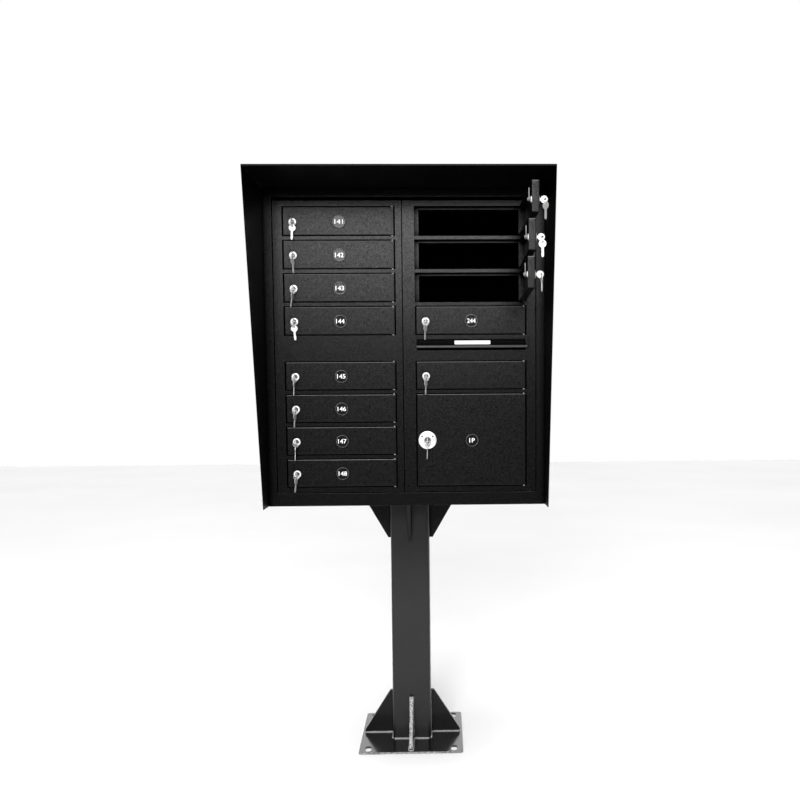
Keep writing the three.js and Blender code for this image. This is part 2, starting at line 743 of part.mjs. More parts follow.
// Four gussets round the post. They stand on zBase and taper away from it in direction up (1 or -1).
function gussets({ reach, height }, zBase, up) {
  const root = POST_SIDE / 2 + FIT_GAP;
  const shape = outline([
    [root, zBase - up * OVERLAP],
    [root + reach, zBase - up * OVERLAP],
    [root + reach, zBase + up * GUSSET_TIP],
    [root + GUSSET_TIP, zBase + up * height],
    [root, zBase + up * height],
  ]);
  const half = GUSSET_THICKNESS / 2;
  return [0, 90, 180, 270].map((turn) => uprightPlate(shape, [-half, half]).rotate([0, 0, turn]));
}

// A slot with round ends through the foot plate, its length running front to back.
function anchorSlot(x, y, drill) {
  const { width, length } = ANCHOR_SLOT;
  const radius = width / 2;
  const ends = [y - (length - width) / 2, y + (length - width) / 2];
  const rounds = ends.map((end) => rodAlongZ(radius, x, end, drill));
  return union([block([x - radius, x + radius], ends, drill), ...rounds]);
}

function pedestalFoot() {
  const half = ANCHOR_SPACING / 2;
  const plate = levelPlate(roundedSquare(FOOT_SIDE, PLATE_CORNER), [0, FOOT_THICKNESS]);
  const drill = [-OVERLAP, FOOT_THICKNESS + OVERLAP];
  const corners = [[-half, -half], [half, -half], [half, half], [-half, half]];
  const slots = corners.map(([x, y]) => anchorSlot(x, y, drill));
  const solid = union([cut(plate, slots), ...gussets(FOOT_GUSSET, FOOT_THICKNESS, 1)]);
  return piece("pedestal_foot", solid, satinPaint());
}

function pedestalHead() {
  const top = PEDESTAL_HEIGHT - FIT_GAP;
  const under = top - HEAD_THICKNESS;
  const plate = levelPlate(roundedSquare(HEAD_SIDE, PLATE_CORNER), [under, top]);
  const drill = [under - OVERLAP, top + OVERLAP];
  const holes = headBoltCentres().map(([x, y]) => rodAlongZ(HEAD_BOLT_RADIUS, x, y, drill));
  const solid = union([cut(plate, holes), ...gussets(HEAD_GUSSET, under, -1)]);
  return piece("pedestal_head", solid, satinPaint());
}

// ---------------------------------------------------------------- assembly

const unit = new THREE.Group();
unit.add(
  sidePanel("side_panel_left", -1),
  sidePanel("side_panel_right", 1),
  roofPanel(),
  floorPanel(),
  rearPanel(),
  faceFrame(),
  hingeRod("left_hinge_rod", -1),
  hingeRod("right_hinge_rod", 1),
  rack("left_rack", -1),
  rack("right_rack", 1),
  leftLoadingDoor(),
  rightLoadingDoor(),
  latchBar(),
  slotFlap(),
  slotBaffle(),
  outgoingDoor(),
  parcelDoor(),
  pedestalPost(),
  pedestalFoot(),
  pedestalHead(),
);
LEFT_ROWS.forEach((row) => unit.add(tenantDoor(140 + row, LEFT_COLUMN_X, row)));
[1, 2, 3, 4].forEach((row) => unit.add(tenantDoor(240 + row, RIGHT_COLUMN_X, row)));

export default unit;
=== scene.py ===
"""Looks of the cluster mailbox unit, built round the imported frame.

Blender works in metres here: +Z is up and -Y is the front. Drawing sizes are written in
millimetres times MM. Pieces of a small door are drawn in that door's own axes, with X to its
hinged edge, Y into the cabinet and Z up, and are then set in place by its joints.
"""

import json
import math

import bmesh
import bpy
from mathutils import Matrix, Vector, noise

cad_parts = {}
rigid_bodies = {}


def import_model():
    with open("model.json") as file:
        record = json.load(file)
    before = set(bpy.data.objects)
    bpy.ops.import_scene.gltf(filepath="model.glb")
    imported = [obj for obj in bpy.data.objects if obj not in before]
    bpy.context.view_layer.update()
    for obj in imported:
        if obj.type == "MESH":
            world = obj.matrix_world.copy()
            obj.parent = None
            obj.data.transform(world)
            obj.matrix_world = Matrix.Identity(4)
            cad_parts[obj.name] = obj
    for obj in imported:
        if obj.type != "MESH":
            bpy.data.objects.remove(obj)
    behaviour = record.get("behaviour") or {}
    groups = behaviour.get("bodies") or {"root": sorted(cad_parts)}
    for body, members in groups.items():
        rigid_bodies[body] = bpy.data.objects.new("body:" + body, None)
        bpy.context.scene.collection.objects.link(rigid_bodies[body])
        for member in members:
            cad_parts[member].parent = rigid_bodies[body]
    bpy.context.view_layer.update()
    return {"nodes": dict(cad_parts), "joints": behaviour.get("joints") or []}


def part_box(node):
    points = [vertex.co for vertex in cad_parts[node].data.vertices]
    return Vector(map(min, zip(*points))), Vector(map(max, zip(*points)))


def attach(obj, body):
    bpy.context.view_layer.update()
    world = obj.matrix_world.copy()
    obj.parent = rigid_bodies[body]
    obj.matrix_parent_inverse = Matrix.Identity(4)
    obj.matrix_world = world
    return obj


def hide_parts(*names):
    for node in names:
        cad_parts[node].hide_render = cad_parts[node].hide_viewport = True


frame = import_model()

MM = 0.001
UP = Vector((0, 0, 1))
QUARTER = math.pi / 2
joints = {joint["name"]: joint for joint in frame["joints"]}


def link(thing):
    """Puts the object thing in the scene and returns it."""
    bpy.context.scene.collection.objects.link(thing)
    return thing



# ---------------------------------------------------------------- camera

CAMERA_AT = Vector((0.1022, -2.5385, 1.0502))
CAMERA_PITCH = math.radians(3.94)
CAMERA_YAW = math.radians(-1.34)
CAMERA_ROLL = math.radians(0.38)
CAMERA_LENS = 37.82
CAMERA_SENSOR = 36
CAMERA_SHIFT = (-0.0789, 0.0629)


def make_camera():
    data = bpy.data.cameras.new("camera")
    data.lens = CAMERA_LENS
    data.sensor_width = CAMERA_SENSOR
    data.shift_x, data.shift_y = CAMERA_SHIFT
    data.clip_end = 60
    camera = link(bpy.data.objects.new("camera", data))
    turn = Matrix.Rotation(CAMERA_YAW, 4, "Z")
    tilt = Matrix.Rotation(math.radians(90) - CAMERA_PITCH, 4, "X")
    roll = Matrix.Rotation(-CAMERA_ROLL, 4, "Z")
    camera.matrix_world = Matrix.Translation(CAMERA_AT) @ turn @ tilt @ roll
    bpy.context.scene.camera = camera


# ---------------------------------------------------------------- materials


def toned(tone, gain):
    """The colour tone with each channel times gain."""
    return tuple(channel * gain for channel in tone)


class Shader:
    """A new material with a Principled shader, and short calls to add and join nodes."""

    def __init__(self, name, **constants):
        self.material = bpy.data.materials.new(name)
        self.material.use_nodes = True
        self.tree = self.material.node_tree
        self.surface = self.tree.nodes["Principled BSDF"]
        for socket, value in constants.items():
            self.surface.inputs[socket.replace("_", " ")].default_value = value
        self.place = self.add("ShaderNodeTexCoord").outputs["Object"]

    def add(self, kind, inputs=None, **settings):
        node = self.tree.nodes.new(kind)
        for key, value in settings.items():
            setattr(node, key, value)
        for socket, value in (inputs or {}).items():
            if isinstance(value, bpy.types.NodeSocket):
                self.tree.links.new(value, node.inputs[socket])
            else:
                node.inputs[socket].default_value = value
        return node

    def noise(self, scale, detail=3, stretch=(1, 1, 1)):
        """Noise with features of about 1 / scale metres, stretched along an axis if asked."""
        mapped = self.add("ShaderNodeMapping", {"Vector": self.place, "Scale": stretch})
        pattern = self.add(
            "ShaderNodeTexNoise",
            {"Vector": mapped.outputs["Vector"], "Scale": scale, "Detail": detail},
        )
        return pattern.outputs["Fac"]

    def sand(self, scale):
        """Grains of about 1 / scale metres, each with its own even value."""
        cells = self.add("ShaderNodeTexVoronoi", {"Vector": self.place, "Scale": scale})
        return cells.outputs["Color"]

    def remap(self, value, low, high, to_low, to_high):
        node = self.add(
            "ShaderNodeMapRange",
            {"Value": value, "From Min": low, "From Max": high, "To Min": to_low, "To Max": to_high},
        )
        return node.outputs["Result"]

    def blend(self, amount, first, second):
        node = self.add("ShaderNodeMix", data_type="RGBA")
        for socket, value in zip((0, 6, 7), (amount, first, second)):
            if isinstance(value, bpy.types.NodeSocket):
                self.tree.links.new(value, node.inputs[socket])
            elif socket == 0:
                node.inputs[socket].default_value = value
            else:
                node.inputs[socket].default_value = (*value, 1)
        return node.outputs[2]

    def calculate(self, operation, *values):
        node = self.add("ShaderNodeMath", dict(enumerate(values)), operation=operation)
        return node.outputs["Value"]

    def edges(self, radius, gain):
        """From 0 on flat stretches to 1 along outside and inside edges."""
        rounded = self.add("ShaderNodeBevel", {"Radius": radius}, samples=4).outputs["Normal"]
        flat = self.add("ShaderNodeNewGeometry").outputs["Normal"]
        agreement = self.add(
            "ShaderNodeVectorMath", {0: rounded, 1: flat}, operation="DOT_PRODUCT"
        ).outputs["Value"]
        return self.remap(agreement, 1 - gain, 1, 1, 0)

    def openness(self, reach):
        """From 0 deep in a gap or corner to 1 on open surfaces, looking reach metres around."""
        node = self.add("ShaderNodeAmbientOcclusion", {"Distance": reach}, samples=6)
        return self.remap(node.outputs["AO"], 0.35, 0.9, 0, 1)

    def facing_rise(self, rise, spread):
        """1 where the normal's upward share is within spread of rise, otherwise 0."""
        normal = self.add("ShaderNodeNewGeometry").outputs["Normal"]
        upward = self.add("ShaderNodeSeparateXYZ", {0: normal}).outputs["Z"]
        return self.calculate("COMPARE", upward, rise, spread)

    def beyond(self, reach):
        """1 where X or Y is further than reach from the object's middle, otherwise 0."""
        spot = self.add("ShaderNodeVectorMath", {0: self.place}, operation="ABSOLUTE")
        parts = self.add("ShaderNodeSeparateXYZ", {0: spot.outputs["Vector"]})
        wider = self.calculate("MAXIMUM", parts.outputs["X"], parts.outputs["Y"])
        return self.calculate("GREATER_THAN", wider, reach)

    def bump(self, height, distance, strength=1.0, under=None):
        inputs = {"Height": height, "Distance": distance, "Strength": strength}
        if under is not None:
            inputs["Normal"] = under
        return self.add("ShaderNodeBump", inputs).outputs["Normal"]

    def drive(self, socket, value):
        self.tree.links.new(value, self.surface.inputs[socket])


# Painted shade: the colour that gaps and corners are taken to.
PAINTED_GAP_SHADE = (0.0004, 0.0004, 0.0004)


def powder_coat(name, tone, rough, grain_tone=0.45, shine=0.34, gap=14 * MM, edge_scuff_and_light=0.03, dust=0.0):
    """Black powder coat with a sheen broken by sand grain.

    It is pale along its edges, from rubbing together with a painted edge highlight, and pale on
    folds that face up, a painted highlight that stands also for dust. Gaps and corners get
    painted shade: the colour goes to black there, and as a nearly black metal reflects almost
    nothing, Metallic takes the sheen away there too.
    """
    shader = Shader(name, Specular_IOR_Level=shine, IOR=1.5)
    grain = shader.sand(500)
    waves = shader.noise(700, 2)
    patches = shader.noise(5.5, 4)
    dark, pale = toned(tone, 1 - grain_tone), toned(tone, 1 + grain_tone)
    speckled = shader.blend(shader.remap(grain, 0.2, 0.8, 0, 1), pale, dark)
    patchy = shader.blend(shader.remap(patches, 0.3, 0.7, 0, 0.5), speckled, toned(tone, 1.5))
    # Pale edges: rubbing together with a painted edge highlight.
    scuffed_and_lit_edge = tuple(channel * 3 + edge_scuff_and_light for channel in tone)
    edge = shader.edges(1.4 * MM, 0.3)
    scuffed_and_highlit = shader.blend(shader.remap(edge, 0, 1, 0, 0.75), patchy, scuffed_and_lit_edge)
    # Folds that face up turn pale: a painted highlight, standing also for dust.
    if dust:
        scuffed_and_highlit = shader.blend(shader.facing_rise(0.55, 0.35), scuffed_and_highlit, (dust, dust, dust))
    # Painted shade: in gaps and corners the colour goes to black and the sheen goes away.
    unshaded = shader.openness(gap)
    shader.drive("Base Color", shader.blend(unshaded, PAINTED_GAP_SHADE, scuffed_and_highlit))
    matt = shader.remap(grain, 0.15, 0.85, 0, grain_tone)
    kept_sheen = shader.calculate("SUBTRACT", 1.0, matt)
    open_sheen = shader.calculate("MULTIPLY", kept_sheen, unshaded)
    shader.drive("Metallic", shader.calculate("SUBTRACT", 1.0, open_sheen))
    shader.drive("Roughness", shader.remap(waves, 0.3, 0.7, rough - 0.04, rough + 0.05))
    shader.drive("Normal", shader.bump(waves, 0.00002))
    return shader.material


CUT_HIGHLIGHT_DARK = (0.06, 0.06, 0.06)
CUT_HIGHLIGHT_PALE = (0.5, 0.5, 0.5)


def satin_paint(name, tone, rough, coat, scuffed_lit_edge_tone=0.05, shine=0.44, cut=None):
    """Smooth black paint with a thin gloss and dust, pale along its edges from rubbing and a painted
    edge highlight.

    cut gives the rise of the normal, and its spread, of the faces that get pale specks like bare
    flame-cut metal: a painted highlight, placed by which way a face points. A third value keeps
    the specks that far from the middle.
    """
    shader = Shader(
        name, Specular_IOR_Level=shine, Coat_Weight=coat, Coat_Roughness=0.12, Coat_IOR=1.5
    )
    dust = shader.noise(260, 3)
    clouds = shader.noise(7, 4)
    waves = shader.noise(55, 2)
    speckled = shader.blend(shader.remap(dust, 0.45, 0.75, 0, 1), tone, toned(tone, 2.2))
    cloudy = shader.blend(shader.remap(clouds, 0.35, 0.7, 0, 0.5), speckled, toned(tone, 1.7))
    # Pale edges: rubbing together with a painted edge highlight.
    edge = shader.edges(1.6 * MM, 0.3)
    scuffed_and_lit_edge = (scuffed_lit_edge_tone, scuffed_lit_edge_tone, scuffed_lit_edge_tone)
    colour = shader.blend(shader.remap(edge, 0, 1, 0, 0.8), cloudy, scuffed_and_lit_edge)
    # Painted highlight: pale specks like bare cut metal on faces picked by which way they point.
    if cut is not None:
        specks = shader.blend(shader.remap(shader.sand(420), 0.2, 0.8, 0, 1), CUT_HIGHLIGHT_DARK, CUT_HIGHLIGHT_PALE)
        mask = shader.facing_rise(*cut[:2])
        if len(cut) > 2:
            mask = shader.calculate("MULTIPLY", mask, shader.beyond(cut[2]))
        colour = shader.blend(mask, colour, specks)
    shader.drive("Base Color", colour)
    shader.drive("Roughness", shader.remap(clouds, 0.3, 0.7, rough - 0.05, rough + 0.07))
    soft = shader.bump(waves, 0.0002)
    shader.drive("Normal", shader.bump(dust, 0.00004, 0.7, soft))
    return shader.material


def plated_metal(name, tone, rough, stretch, scratches=0.00002, metal=1.0):
    """Satin plating with faint directional scratches and cloudy tarnish."""
    shader = Shader(name, Metallic=metal)
    brushing = shader.noise(900, 3, stretch)
    clouds = shader.noise(90, 3)
    colour = shader.blend(shader.remap(clouds, 0.35, 0.75, 0, 0.8), tone, toned(tone, 0.72))
    shader.drive("Base Color", colour)
    shader.drive("Roughness", shader.remap(brushing, 0.3, 0.7, rough - 0.05, rough + 0.08))
    shader.drive("Normal", shader.bump(brushing, scratches, 0.6))
    return shader.material


def plastic(name, tone, rough, spread=0.12, shine=0.5, scuffed_and_highlit=None):
    """Moulded or printed plastic with slight mottling and fine dust, and a pale rim if asked, from
    rubbing and a painted edge highlight.
    """
    shader = Shader(name, Specular_IOR_Level=shine)
    mottle = shader.noise(140, 3)
    dust = shader.noise(700, 2)
    low = toned(tone, 1 - spread)
    high = tuple(min(1.0, channel * (1 + spread)) for channel in tone)
    colour = shader.blend(shader.remap(mottle, 0.3, 0.7, 0, 1), low, high)
    # A pale rim: rubbing together with a painted edge highlight.
    if scuffed_and_highlit is not None:
        colour = shader.blend(shader.edges(0.9 * MM, 0.3), colour, (scuffed_and_highlit, scuffed_and_highlit, scuffed_and_highlit))
    shader.drive("Base Color", colour)
    shader.drive("Roughness", shader.remap(dust, 0.3, 0.7, rough - 0.04, rough + 0.06))
    shader.drive("Normal", shader.bump(mottle, 0.00001, 0.5))
    return shader.material


def pale_floor(name):
    shader = Shader(name, Roughness=0.9)
    clouds = shader.noise(0.8, 3)
    shade = shader.blend(shader.remap(clouds, 0.3, 0.7, 0, 1), (0.82, 0.82, 0.82), (0.86, 0.86, 0.86))
    shader.drive("Base Color", shade)
    return shader.material


COAT = powder_coat("powder_coat", (0.001, 0.001, 0.00105), 0.25, shine=0.29)
# The dust values paint a highlight, standing also for dust, on folds that face up.
DOOR_COAT = powder_coat("door_powder_coat", (0.002, 0.002, 0.0021), 0.3, 0.75, dust=0.1)
FRAME_COAT = powder_coat(
    "frame_powder_coat", (0.001, 0.001, 0.00105), 0.26, 0.6, 0.31, 26 * MM, dust=0.08
)
# A darker, duller copy of the coat with hardly any pale edges: painted shade for the hood and roof.
HOOD_COAT = powder_coat(
    "hood_powder_coat", (0.0008, 0.0008, 0.00085), 0.45, 0.4, 0.12, edge_scuff_and_light=0.003
)
RACK_COAT = powder_coat("rack_paint", (0.0008, 0.0008, 0.00085), 0.7, 0.3, 0.1, edge_scuff_and_light=0.01)
SATIN = satin_paint("satin_paint", (0.005, 0.005, 0.0053), 0.3, 0.05, 0.008, 0.36)
# Pale edges and pale specks on chosen faces of the plate and gussets are painted highlight.
GLOSS = satin_paint("gloss_paint", (0.006, 0.006, 0.0063), 0.18, 0.5, 0.3, 0.4, (0, 0.5, 150 * MM))
EDGED = satin_paint("gusset_paint", (0.003, 0.003, 0.0032), 0.26, 0.05, 0.25, 0.2, (0.53, 0.2))
# The lip's lighter tone is a painted highlight on the lip.
LIP = satin_paint("lip_paint", (0.015, 0.015, 0.0155), 0.42, 0.1, 0.05, 0.6)
# The weld bead's grey tone and pale edges are painted highlight on a black painted bead.
WELD_HIGHLIGHT_PAINT = satin_paint("weld_highlight_paint", (0.2, 0.2, 0.205), 0.14, 1.0, 0.6)
# Metallic below 1 leaves a pale diffuse share: a painted reflection that keeps the plating bright.
CHROME = plated_metal("chrome", (0.98, 0.98, 0.98), 0.34, (1, 1, 6), metal=0.4)
NICKEL = plated_metal("nickel_key", (0.62, 0.615, 0.6), 0.4, (1, 6, 1), metal=0.5)
ZINC = plated_metal("zinc_steel", (0.2, 0.203, 0.2), 0.4, (6, 6, 1), 0.00004)
# The disc's pale rim is from rubbing together with a painted edge highlight.
LABEL_BLACK = plastic("label_black", (0.0015, 0.0015, 0.0016), 0.12, 0.3, 0.3, 0.6)
LABEL_WHITE = plastic("label_white", (0.94, 0.94, 0.93), 0.42, 0.04)
PRINT_WHITE = plastic("print_white", (0.96, 0.96, 0.96), 0.4, 0.03)

# ---------------------------------------------------------------- mesh tools

SMOOTH_ANGLE = math.radians(34)


def mesh_of(bm, name):
    bmesh.ops.recalc_face_normals(bm, faces=bm.faces)
    mesh = bpy.data.meshes.new(name)
    bm.to_mesh(mesh)
    bm.free()
    mesh.shade_smooth()
    mesh.set_sharp_from_angle(angle=SMOOTH_ANGLE)
    return mesh


def place(name, mesh, material, body, at=Matrix.Identity(4)):
    """A piece of the object: its mesh, finish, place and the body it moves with."""
    if not mesh.materials:
        mesh.materials.append(material)
    piece = link(bpy.data.objects.new(name, mesh))
    piece.matrix_world = at
    flats = piece.modifiers.new("flats", "WEIGHTED_NORMAL")
    flats.keep_sharp = True
    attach(piece, body)
    return piece


def join_loops(bm, loop, after):
    """Faces between two closed loops with as many vertices."""
    for k in range(len(loop)):
        n = (k + 1) % len(loop)
        bm.faces.new((loop[k], loop[n], after[n], after[k]))


def lathe(bm, profile, segments=40, closed=False, at=Matrix.Identity(4)):
    """Turns (radius, depth) points about the Y axis; closed joins the last ring to the first."""
    rings = []
    for radius, depth in profile:
        if radius == 0:
            rings.append([bm.verts.new(at @ Vector((0, depth, 0)))] * segments)
            continue
        turns = [2 * math.pi * k / segments for k in range(segments)]
        rings.append(
            [
                bm.verts.new(at @ Vector((radius * math.cos(t), depth, radius * math.sin(t))))
                for t in turns
            ]
        )
    followers = rings[1:] + (rings[:1] if closed else [])
    for ring, after in zip(rings, followers):
        for k in range(segments):
            n = (k + 1) % segments
            corners = list(dict.fromkeys((ring[k], ring[n], after[n], after[k])))
            bm.faces.new(corners)


def box(bm, low, high):
    """A plain box between two corners; returns its new edges."""
    made = bmesh.ops.create_cube(bm, size=1)["verts"]
    low, high = Vector(low), Vector(high)
    for vertex in made:
        spread = Vector(c + 0.5 for c in vertex.co)
        vertex.co = low + Vector(s * (h - l) for s, h, l in zip(spread, high, low))
    return [edge for edge in bm.edges if edge.verts[0] in made]


def rounded_box(bm, low, high, radius, segments=3):
    edges = box(bm, low, high)
    bmesh.ops.bevel(
        bm, geom=edges, offset=radius, segments=segments, affect="EDGES", profile=0.5
    )


def circle(radius, centre=(0, 0), steps=32, start=0.0, sweep=2 * math.pi):
    full = abs(sweep - 2 * math.pi) < 1e-9
    count = steps if full else steps + 1
    return [
        (
            centre[0] + radius * math.cos(start + sweep * k / steps),
            centre[1] + radius * math.sin(start + sweep * k / steps),
        )
        for k in range(count)
    ]


def rounded_rectangle(width, height, radius, steps=6):
    corners = ((1, 1, 0), (-1, 1, 1), (-1, -1, 2), (1, -1, 3))
    points = []
    for side, rise, quarter in corners:
        centre = (side * (width / 2 - radius), rise * (height / 2 - radius))
        points += circle(radius, centre, steps, quarter * QUARTER, QUARTER)
    return points


def evaluated_mesh(thing):
    """A new mesh of the linked object as its curve or modifiers make it."""
    bpy.context.view_layer.update()
    return bpy.data.meshes.new_from_object(
        thing.evaluated_get(bpy.context.evaluated_depsgraph_get())
    )


def curve_shape(curve):
    """The bmesh of a curve or text, which is removed with its seams welded."""
    holder = link(bpy.data.objects.new("holder", curve))
    shape = evaluated_mesh(holder)
    bpy.data.objects.remove(holder)
    bpy.data.curves.remove(curve)
    bm = bmesh.new()
    bm.from_mesh(shape)
    bpy.data.meshes.remove(shape)
    bmesh.ops.remove_doubles(bm, verts=bm.verts, dist=1e-6)
    return bm


def flat_plate(outlines, thickness, edge):
    """A plate with rounded edges, drawn in X and Z and centred on Y = 0. Later outlines are holes."""
    curve = bpy.data.curves.new("outline", "CURVE")
    curve.dimensions = "2D"
    curve.fill_mode = "BOTH"
    curve.extrude = thickness / 2 - edge
    curve.bevel_depth = edge
    curve.bevel_resolution = 1
    curve.offset = -edge
    for points in outlines:
        spline = curve.splines.new("POLY")
        spline.points.add(len(points) - 1)
        spline.use_cyclic_u = True
        for point, (a, b) in zip(spline.points, points):
            point.co = (a, b, 0, 1)
    bm = curve_shape(curve)
    bmesh.ops.rotate(bm, verts=bm.verts, matrix=Matrix.Rotation(QUARTER, 3, "X"))
    return bm


def add_mesh(bm, other, at=Matrix.Identity(4)):
    """Copies the bmesh other into bm, moved by at, and frees it."""
    other.transform(at)
    scratch = bpy.data.meshes.new("scratch")
    other.to_mesh(scratch)
    other.free()
    bm.from_mesh(scratch)
    bpy.data.meshes.remove(scratch)


def tube(bm, points, radii, sides=8):
    """A closed tube along points; radii holds one radius for each point."""
    rings = []
    side_way = None
    for i, point in enumerate(points):
        ahead = points[min(i + 1, len(points) - 1)] - points[max(i - 1, 0)]
        ahead.normalize()
        if side_way is None:
            helper = UP if abs(ahead.dot(UP)) < 0.9 else Vector((1, 0, 0))
            side_way = ahead.cross(helper)
        side_way = (side_way - ahead * side_way.dot(ahead)).normalized()
        other = ahead.cross(side_way)
        ring = []
        for k in range(sides):
            turn = 2 * math.pi * k / sides
            reach = side_way * math.cos(turn) + other * math.sin(turn)
            ring.append(bm.verts.new(point + reach * radii[i]))
        rings.append(ring)
    for ring, after in zip(rings, rings[1:]):
        join_loops(bm, ring, after)
    bm.faces.new(rings[0][::-1])
    bm.faces.new(rings[-1])


def cut_out(mesh, cutter):
    """mesh with the bmesh cutter taken away."""
    tool_mesh = mesh_of(cutter, "cutter")
    tool = link(bpy.data.objects.new("cutter", tool_mesh))
    work = link(bpy.data.objects.new("work", mesh))
    boolean = work.modifiers.new("cut", "BOOLEAN")
    boolean.operation = "DIFFERENCE"
    boolean.solver = "EXACT"
    boolean.object = tool
    made = evaluated_mesh(work)
    made.name = mesh.name
    for thing in (tool, work):
        bpy.data.objects.remove(thing)
    bpy.data.meshes.remove(tool_mesh)
    made.materials.clear()
    made.shade_smooth()
    made.set_sharp_from_angle(angle=SMOOTH_ANGLE)
    return made


# ---------------------------------------------------------------- sheet metal that stays as designed

# The paint, slot and fold radius in millimetres of each CAD part that stays.
KEPT_SHEETS = {
    "side_panel_left": (HOOD_COAT, "powder_coat", 0.8),
    "side_panel_right": (HOOD_COAT, "powder_coat", 0.8),
    "roof_panel": (HOOD_COAT, "powder_coat", 0.8),
    "floor_panel": (COAT, "powder_coat", 0.6),
    "rear_panel": (COAT, "powder_coat", 0.8),
    "face_frame": (COAT, "powder_coat", 1.4),
    "left_loading_door": (FRAME_COAT, "powder_coat", 1.4),
    "right_loading_door": (FRAME_COAT, "powder_coat", 1.4),
    "left_rack": (RACK_COAT, "rack_paint", 0.4),
    "right_rack": (RACK_COAT, "rack_paint", 0.4),
    "mail_slot_baffle": (RACK_COAT, "rack_paint", 0.5),
    "master_latch_bar": (ZINC, "zinc_steel", 0.8),
}


def dress_sheets():
    """Gives each kept part its paint, and rounds its folded edges without touching its mesh."""
    for name, (material, slot, radius) in KEPT_SHEETS.items():
        node = frame["nodes"][name]
        node.data.materials.clear()
        node.data.materials.append(material)
        # The frame's meshes are loose triangles, so they are joined into flat faces first.
        weld = node.modifiers.new("weld", "WELD")
        weld.merge_threshold = 0.02 * MM
        flatten = node.modifiers.new("flatten", "DECIMATE")
        flatten.decimate_type = "DISSOLVE"
        flatten.angle_limit = math.radians(1)
        fold = node.modifiers.new("fold", "BEVEL")
        fold.width = radius * MM
        fold.segments = 2
        fold.limit_method = "ANGLE"
        fold.angle_limit = math.radians(40)


# ---------------------------------------------------------------- small doors

DOOR_WIDTH = 305 * MM
TENANT_HEIGHT = 77.3 * MM
DOOR_DEPTH = 18 * MM
DOOR_WALL = 2 * MM
DOOR_GAP = 2 * MM
DOOR_EASE = 0.8 * MM  # taken off each side of a pan, which widens the gap round it
PIVOT_INSET = 6 * MM
DOOR_FRONT = -5 * MM
FOLD_RADIUS = 2.2 * MM
RIM_RADIUS = 0.35 * MM
BUSH_RADIUS = 2.6 * MM
PIN_RADIUS = 1.9 * MM
PIN_LENGTH = 1.8 * MM
DISC_RADIUS = 17.5 * MM
LABEL_OFFSET = (1.3 * MM, -0.02 * MM, -1.5 * MM)  # from the middle of the door's face


def door_place(door, label):
    """The matrix from a small door's own axes to the frame, with its pivot as the origin."""
    pivot = Vector(joints[f"{door}_hinge"]["pos_m"])
    outward = Vector(joints[f"plug_{label}_turn"]["axis"]).normalized()
    right = UP.cross(outward)
    axes = Matrix((right, -outward, UP)).transposed().to_4x4()
    return Matrix.Translation(pivot) @ axes


def lock_at(door, label):
    """The matrix from a lock's own axes to its door's."""
    spot = door_place(door, label).inverted() @ Vector(joints[f"plug_{label}_turn"]["pos_m"])
    return Matrix.Translation(spot)


def door_pan(name, height, bore_at, bore):
    """A folded steel tray, open at the back, with a bore for the lock at bore_at in X and Z."""
    left, right = PIVOT_INSET - DOOR_WIDTH + DOOR_EASE, PIVOT_INSET - DOOR_EASE
    half = height / 2 - DOOR_EASE
    back = DOOR_FRONT + DOOR_DEPTH
    bm = bmesh.new()

    def ring(inset, depth):
        corners = (
            (left + inset, depth, inset - half),
            (right - inset, depth, inset - half),
            (right - inset, depth, half - inset),
            (left + inset, depth, half - inset),
        )
        return [bm.verts.new(corner) for corner in corners]

    loops = [
        ring(0, DOOR_FRONT),
        ring(0, back),
        ring(DOOR_WALL, back),
        ring(DOOR_WALL, DOOR_FRONT + DOOR_WALL),
    ]
    bm.faces.new(loops[0])
    bm.faces.new(loops[-1][::-1])
    for loop, after in zip(loops, loops[1:]):
        join_loops(bm, loop, after)
    outer = [edge for edge in bm.edges if any(vertex in loops[0] for vertex in edge.verts)]
    bmesh.ops.bevel(bm, geom=outer, offset=FOLD_RADIUS, segments=4, affect="EDGES", profile=0.5)
    rim = [edge for edge in bm.edges if all(abs(v.co.y - back) < 1e-7 for v in edge.verts)]
    bmesh.ops.bevel(bm, geom=rim, offset=RIM_RADIUS, segments=2, affect="EDGES", profile=0.5)
    cutter = bmesh.new()
    x, z = bore_at
    start, end = DOOR_FRONT - 2 * MM, DOOR_FRONT + 2 * DOOR_WALL
    profile = [(0, start), (bore, start), (bore, end), (0, end)]
    lathe(cutter, profile, 32, at=Matrix.Translation((x, 0, z)))
    return cut_out(mesh_of(bm, name), cutter)


def pivot_pins(height):
    """A door's upper and lower pins, each in a short bush that shows in the gap."""
    bm = bmesh.new()
    half = height / 2
    bush_end = half + DOOR_GAP - 0.25 * MM
    pin_end = half + DOOR_GAP + PIN_LENGTH - 0.1 * MM
    profile = [
        (0, half - 3 * MM),
        (BUSH_RADIUS, half - 3 * MM),
        (BUSH_RADIUS, bush_end - 0.4 * MM),
        (BUSH_RADIUS - 0.4 * MM, bush_end),
        (PIN_RADIUS, bush_end),
        (PIN_RADIUS, pin_end - 0.4 * MM),
        (PIN_RADIUS - 0.4 * MM, pin_end),
        (0, pin_end),
    ]
    for side in (-1, 1):
        lathe(bm, profile, 20, at=Matrix.Rotation(side * QUARTER, 4, "X"))
    return mesh_of(bm, "pivot_pins")


def number_disc():
    """A slightly domed round label with a raised rim, its back at Y = 0."""
    bm = bmesh.new()
    rim = DISC_RADIUS
    profile = [
        (0, 0),
        (rim, 0),
        (rim, -1.2 * MM),
        (rim - 0.35 * MM, -1.75 * MM),
        (rim - 0.9 * MM, -1.8 * MM),
        (rim - 1.5 * MM, -1.3 * MM),
        (rim - 2.6 * MM, -1.2 * MM),
        (rim * 0.6, -1.26 * MM),
        (rim * 0.3, -1.3 * MM),
        (0, -1.31 * MM),
    ]
    lathe(bm, profile, 56)
    return mesh_of(bm, "number_disc")


DIGIT_HEIGHT = 12.2 * MM
DIGIT_ADVANCE = 7.8 * MM
DIGIT_FACE = -1.5 * MM


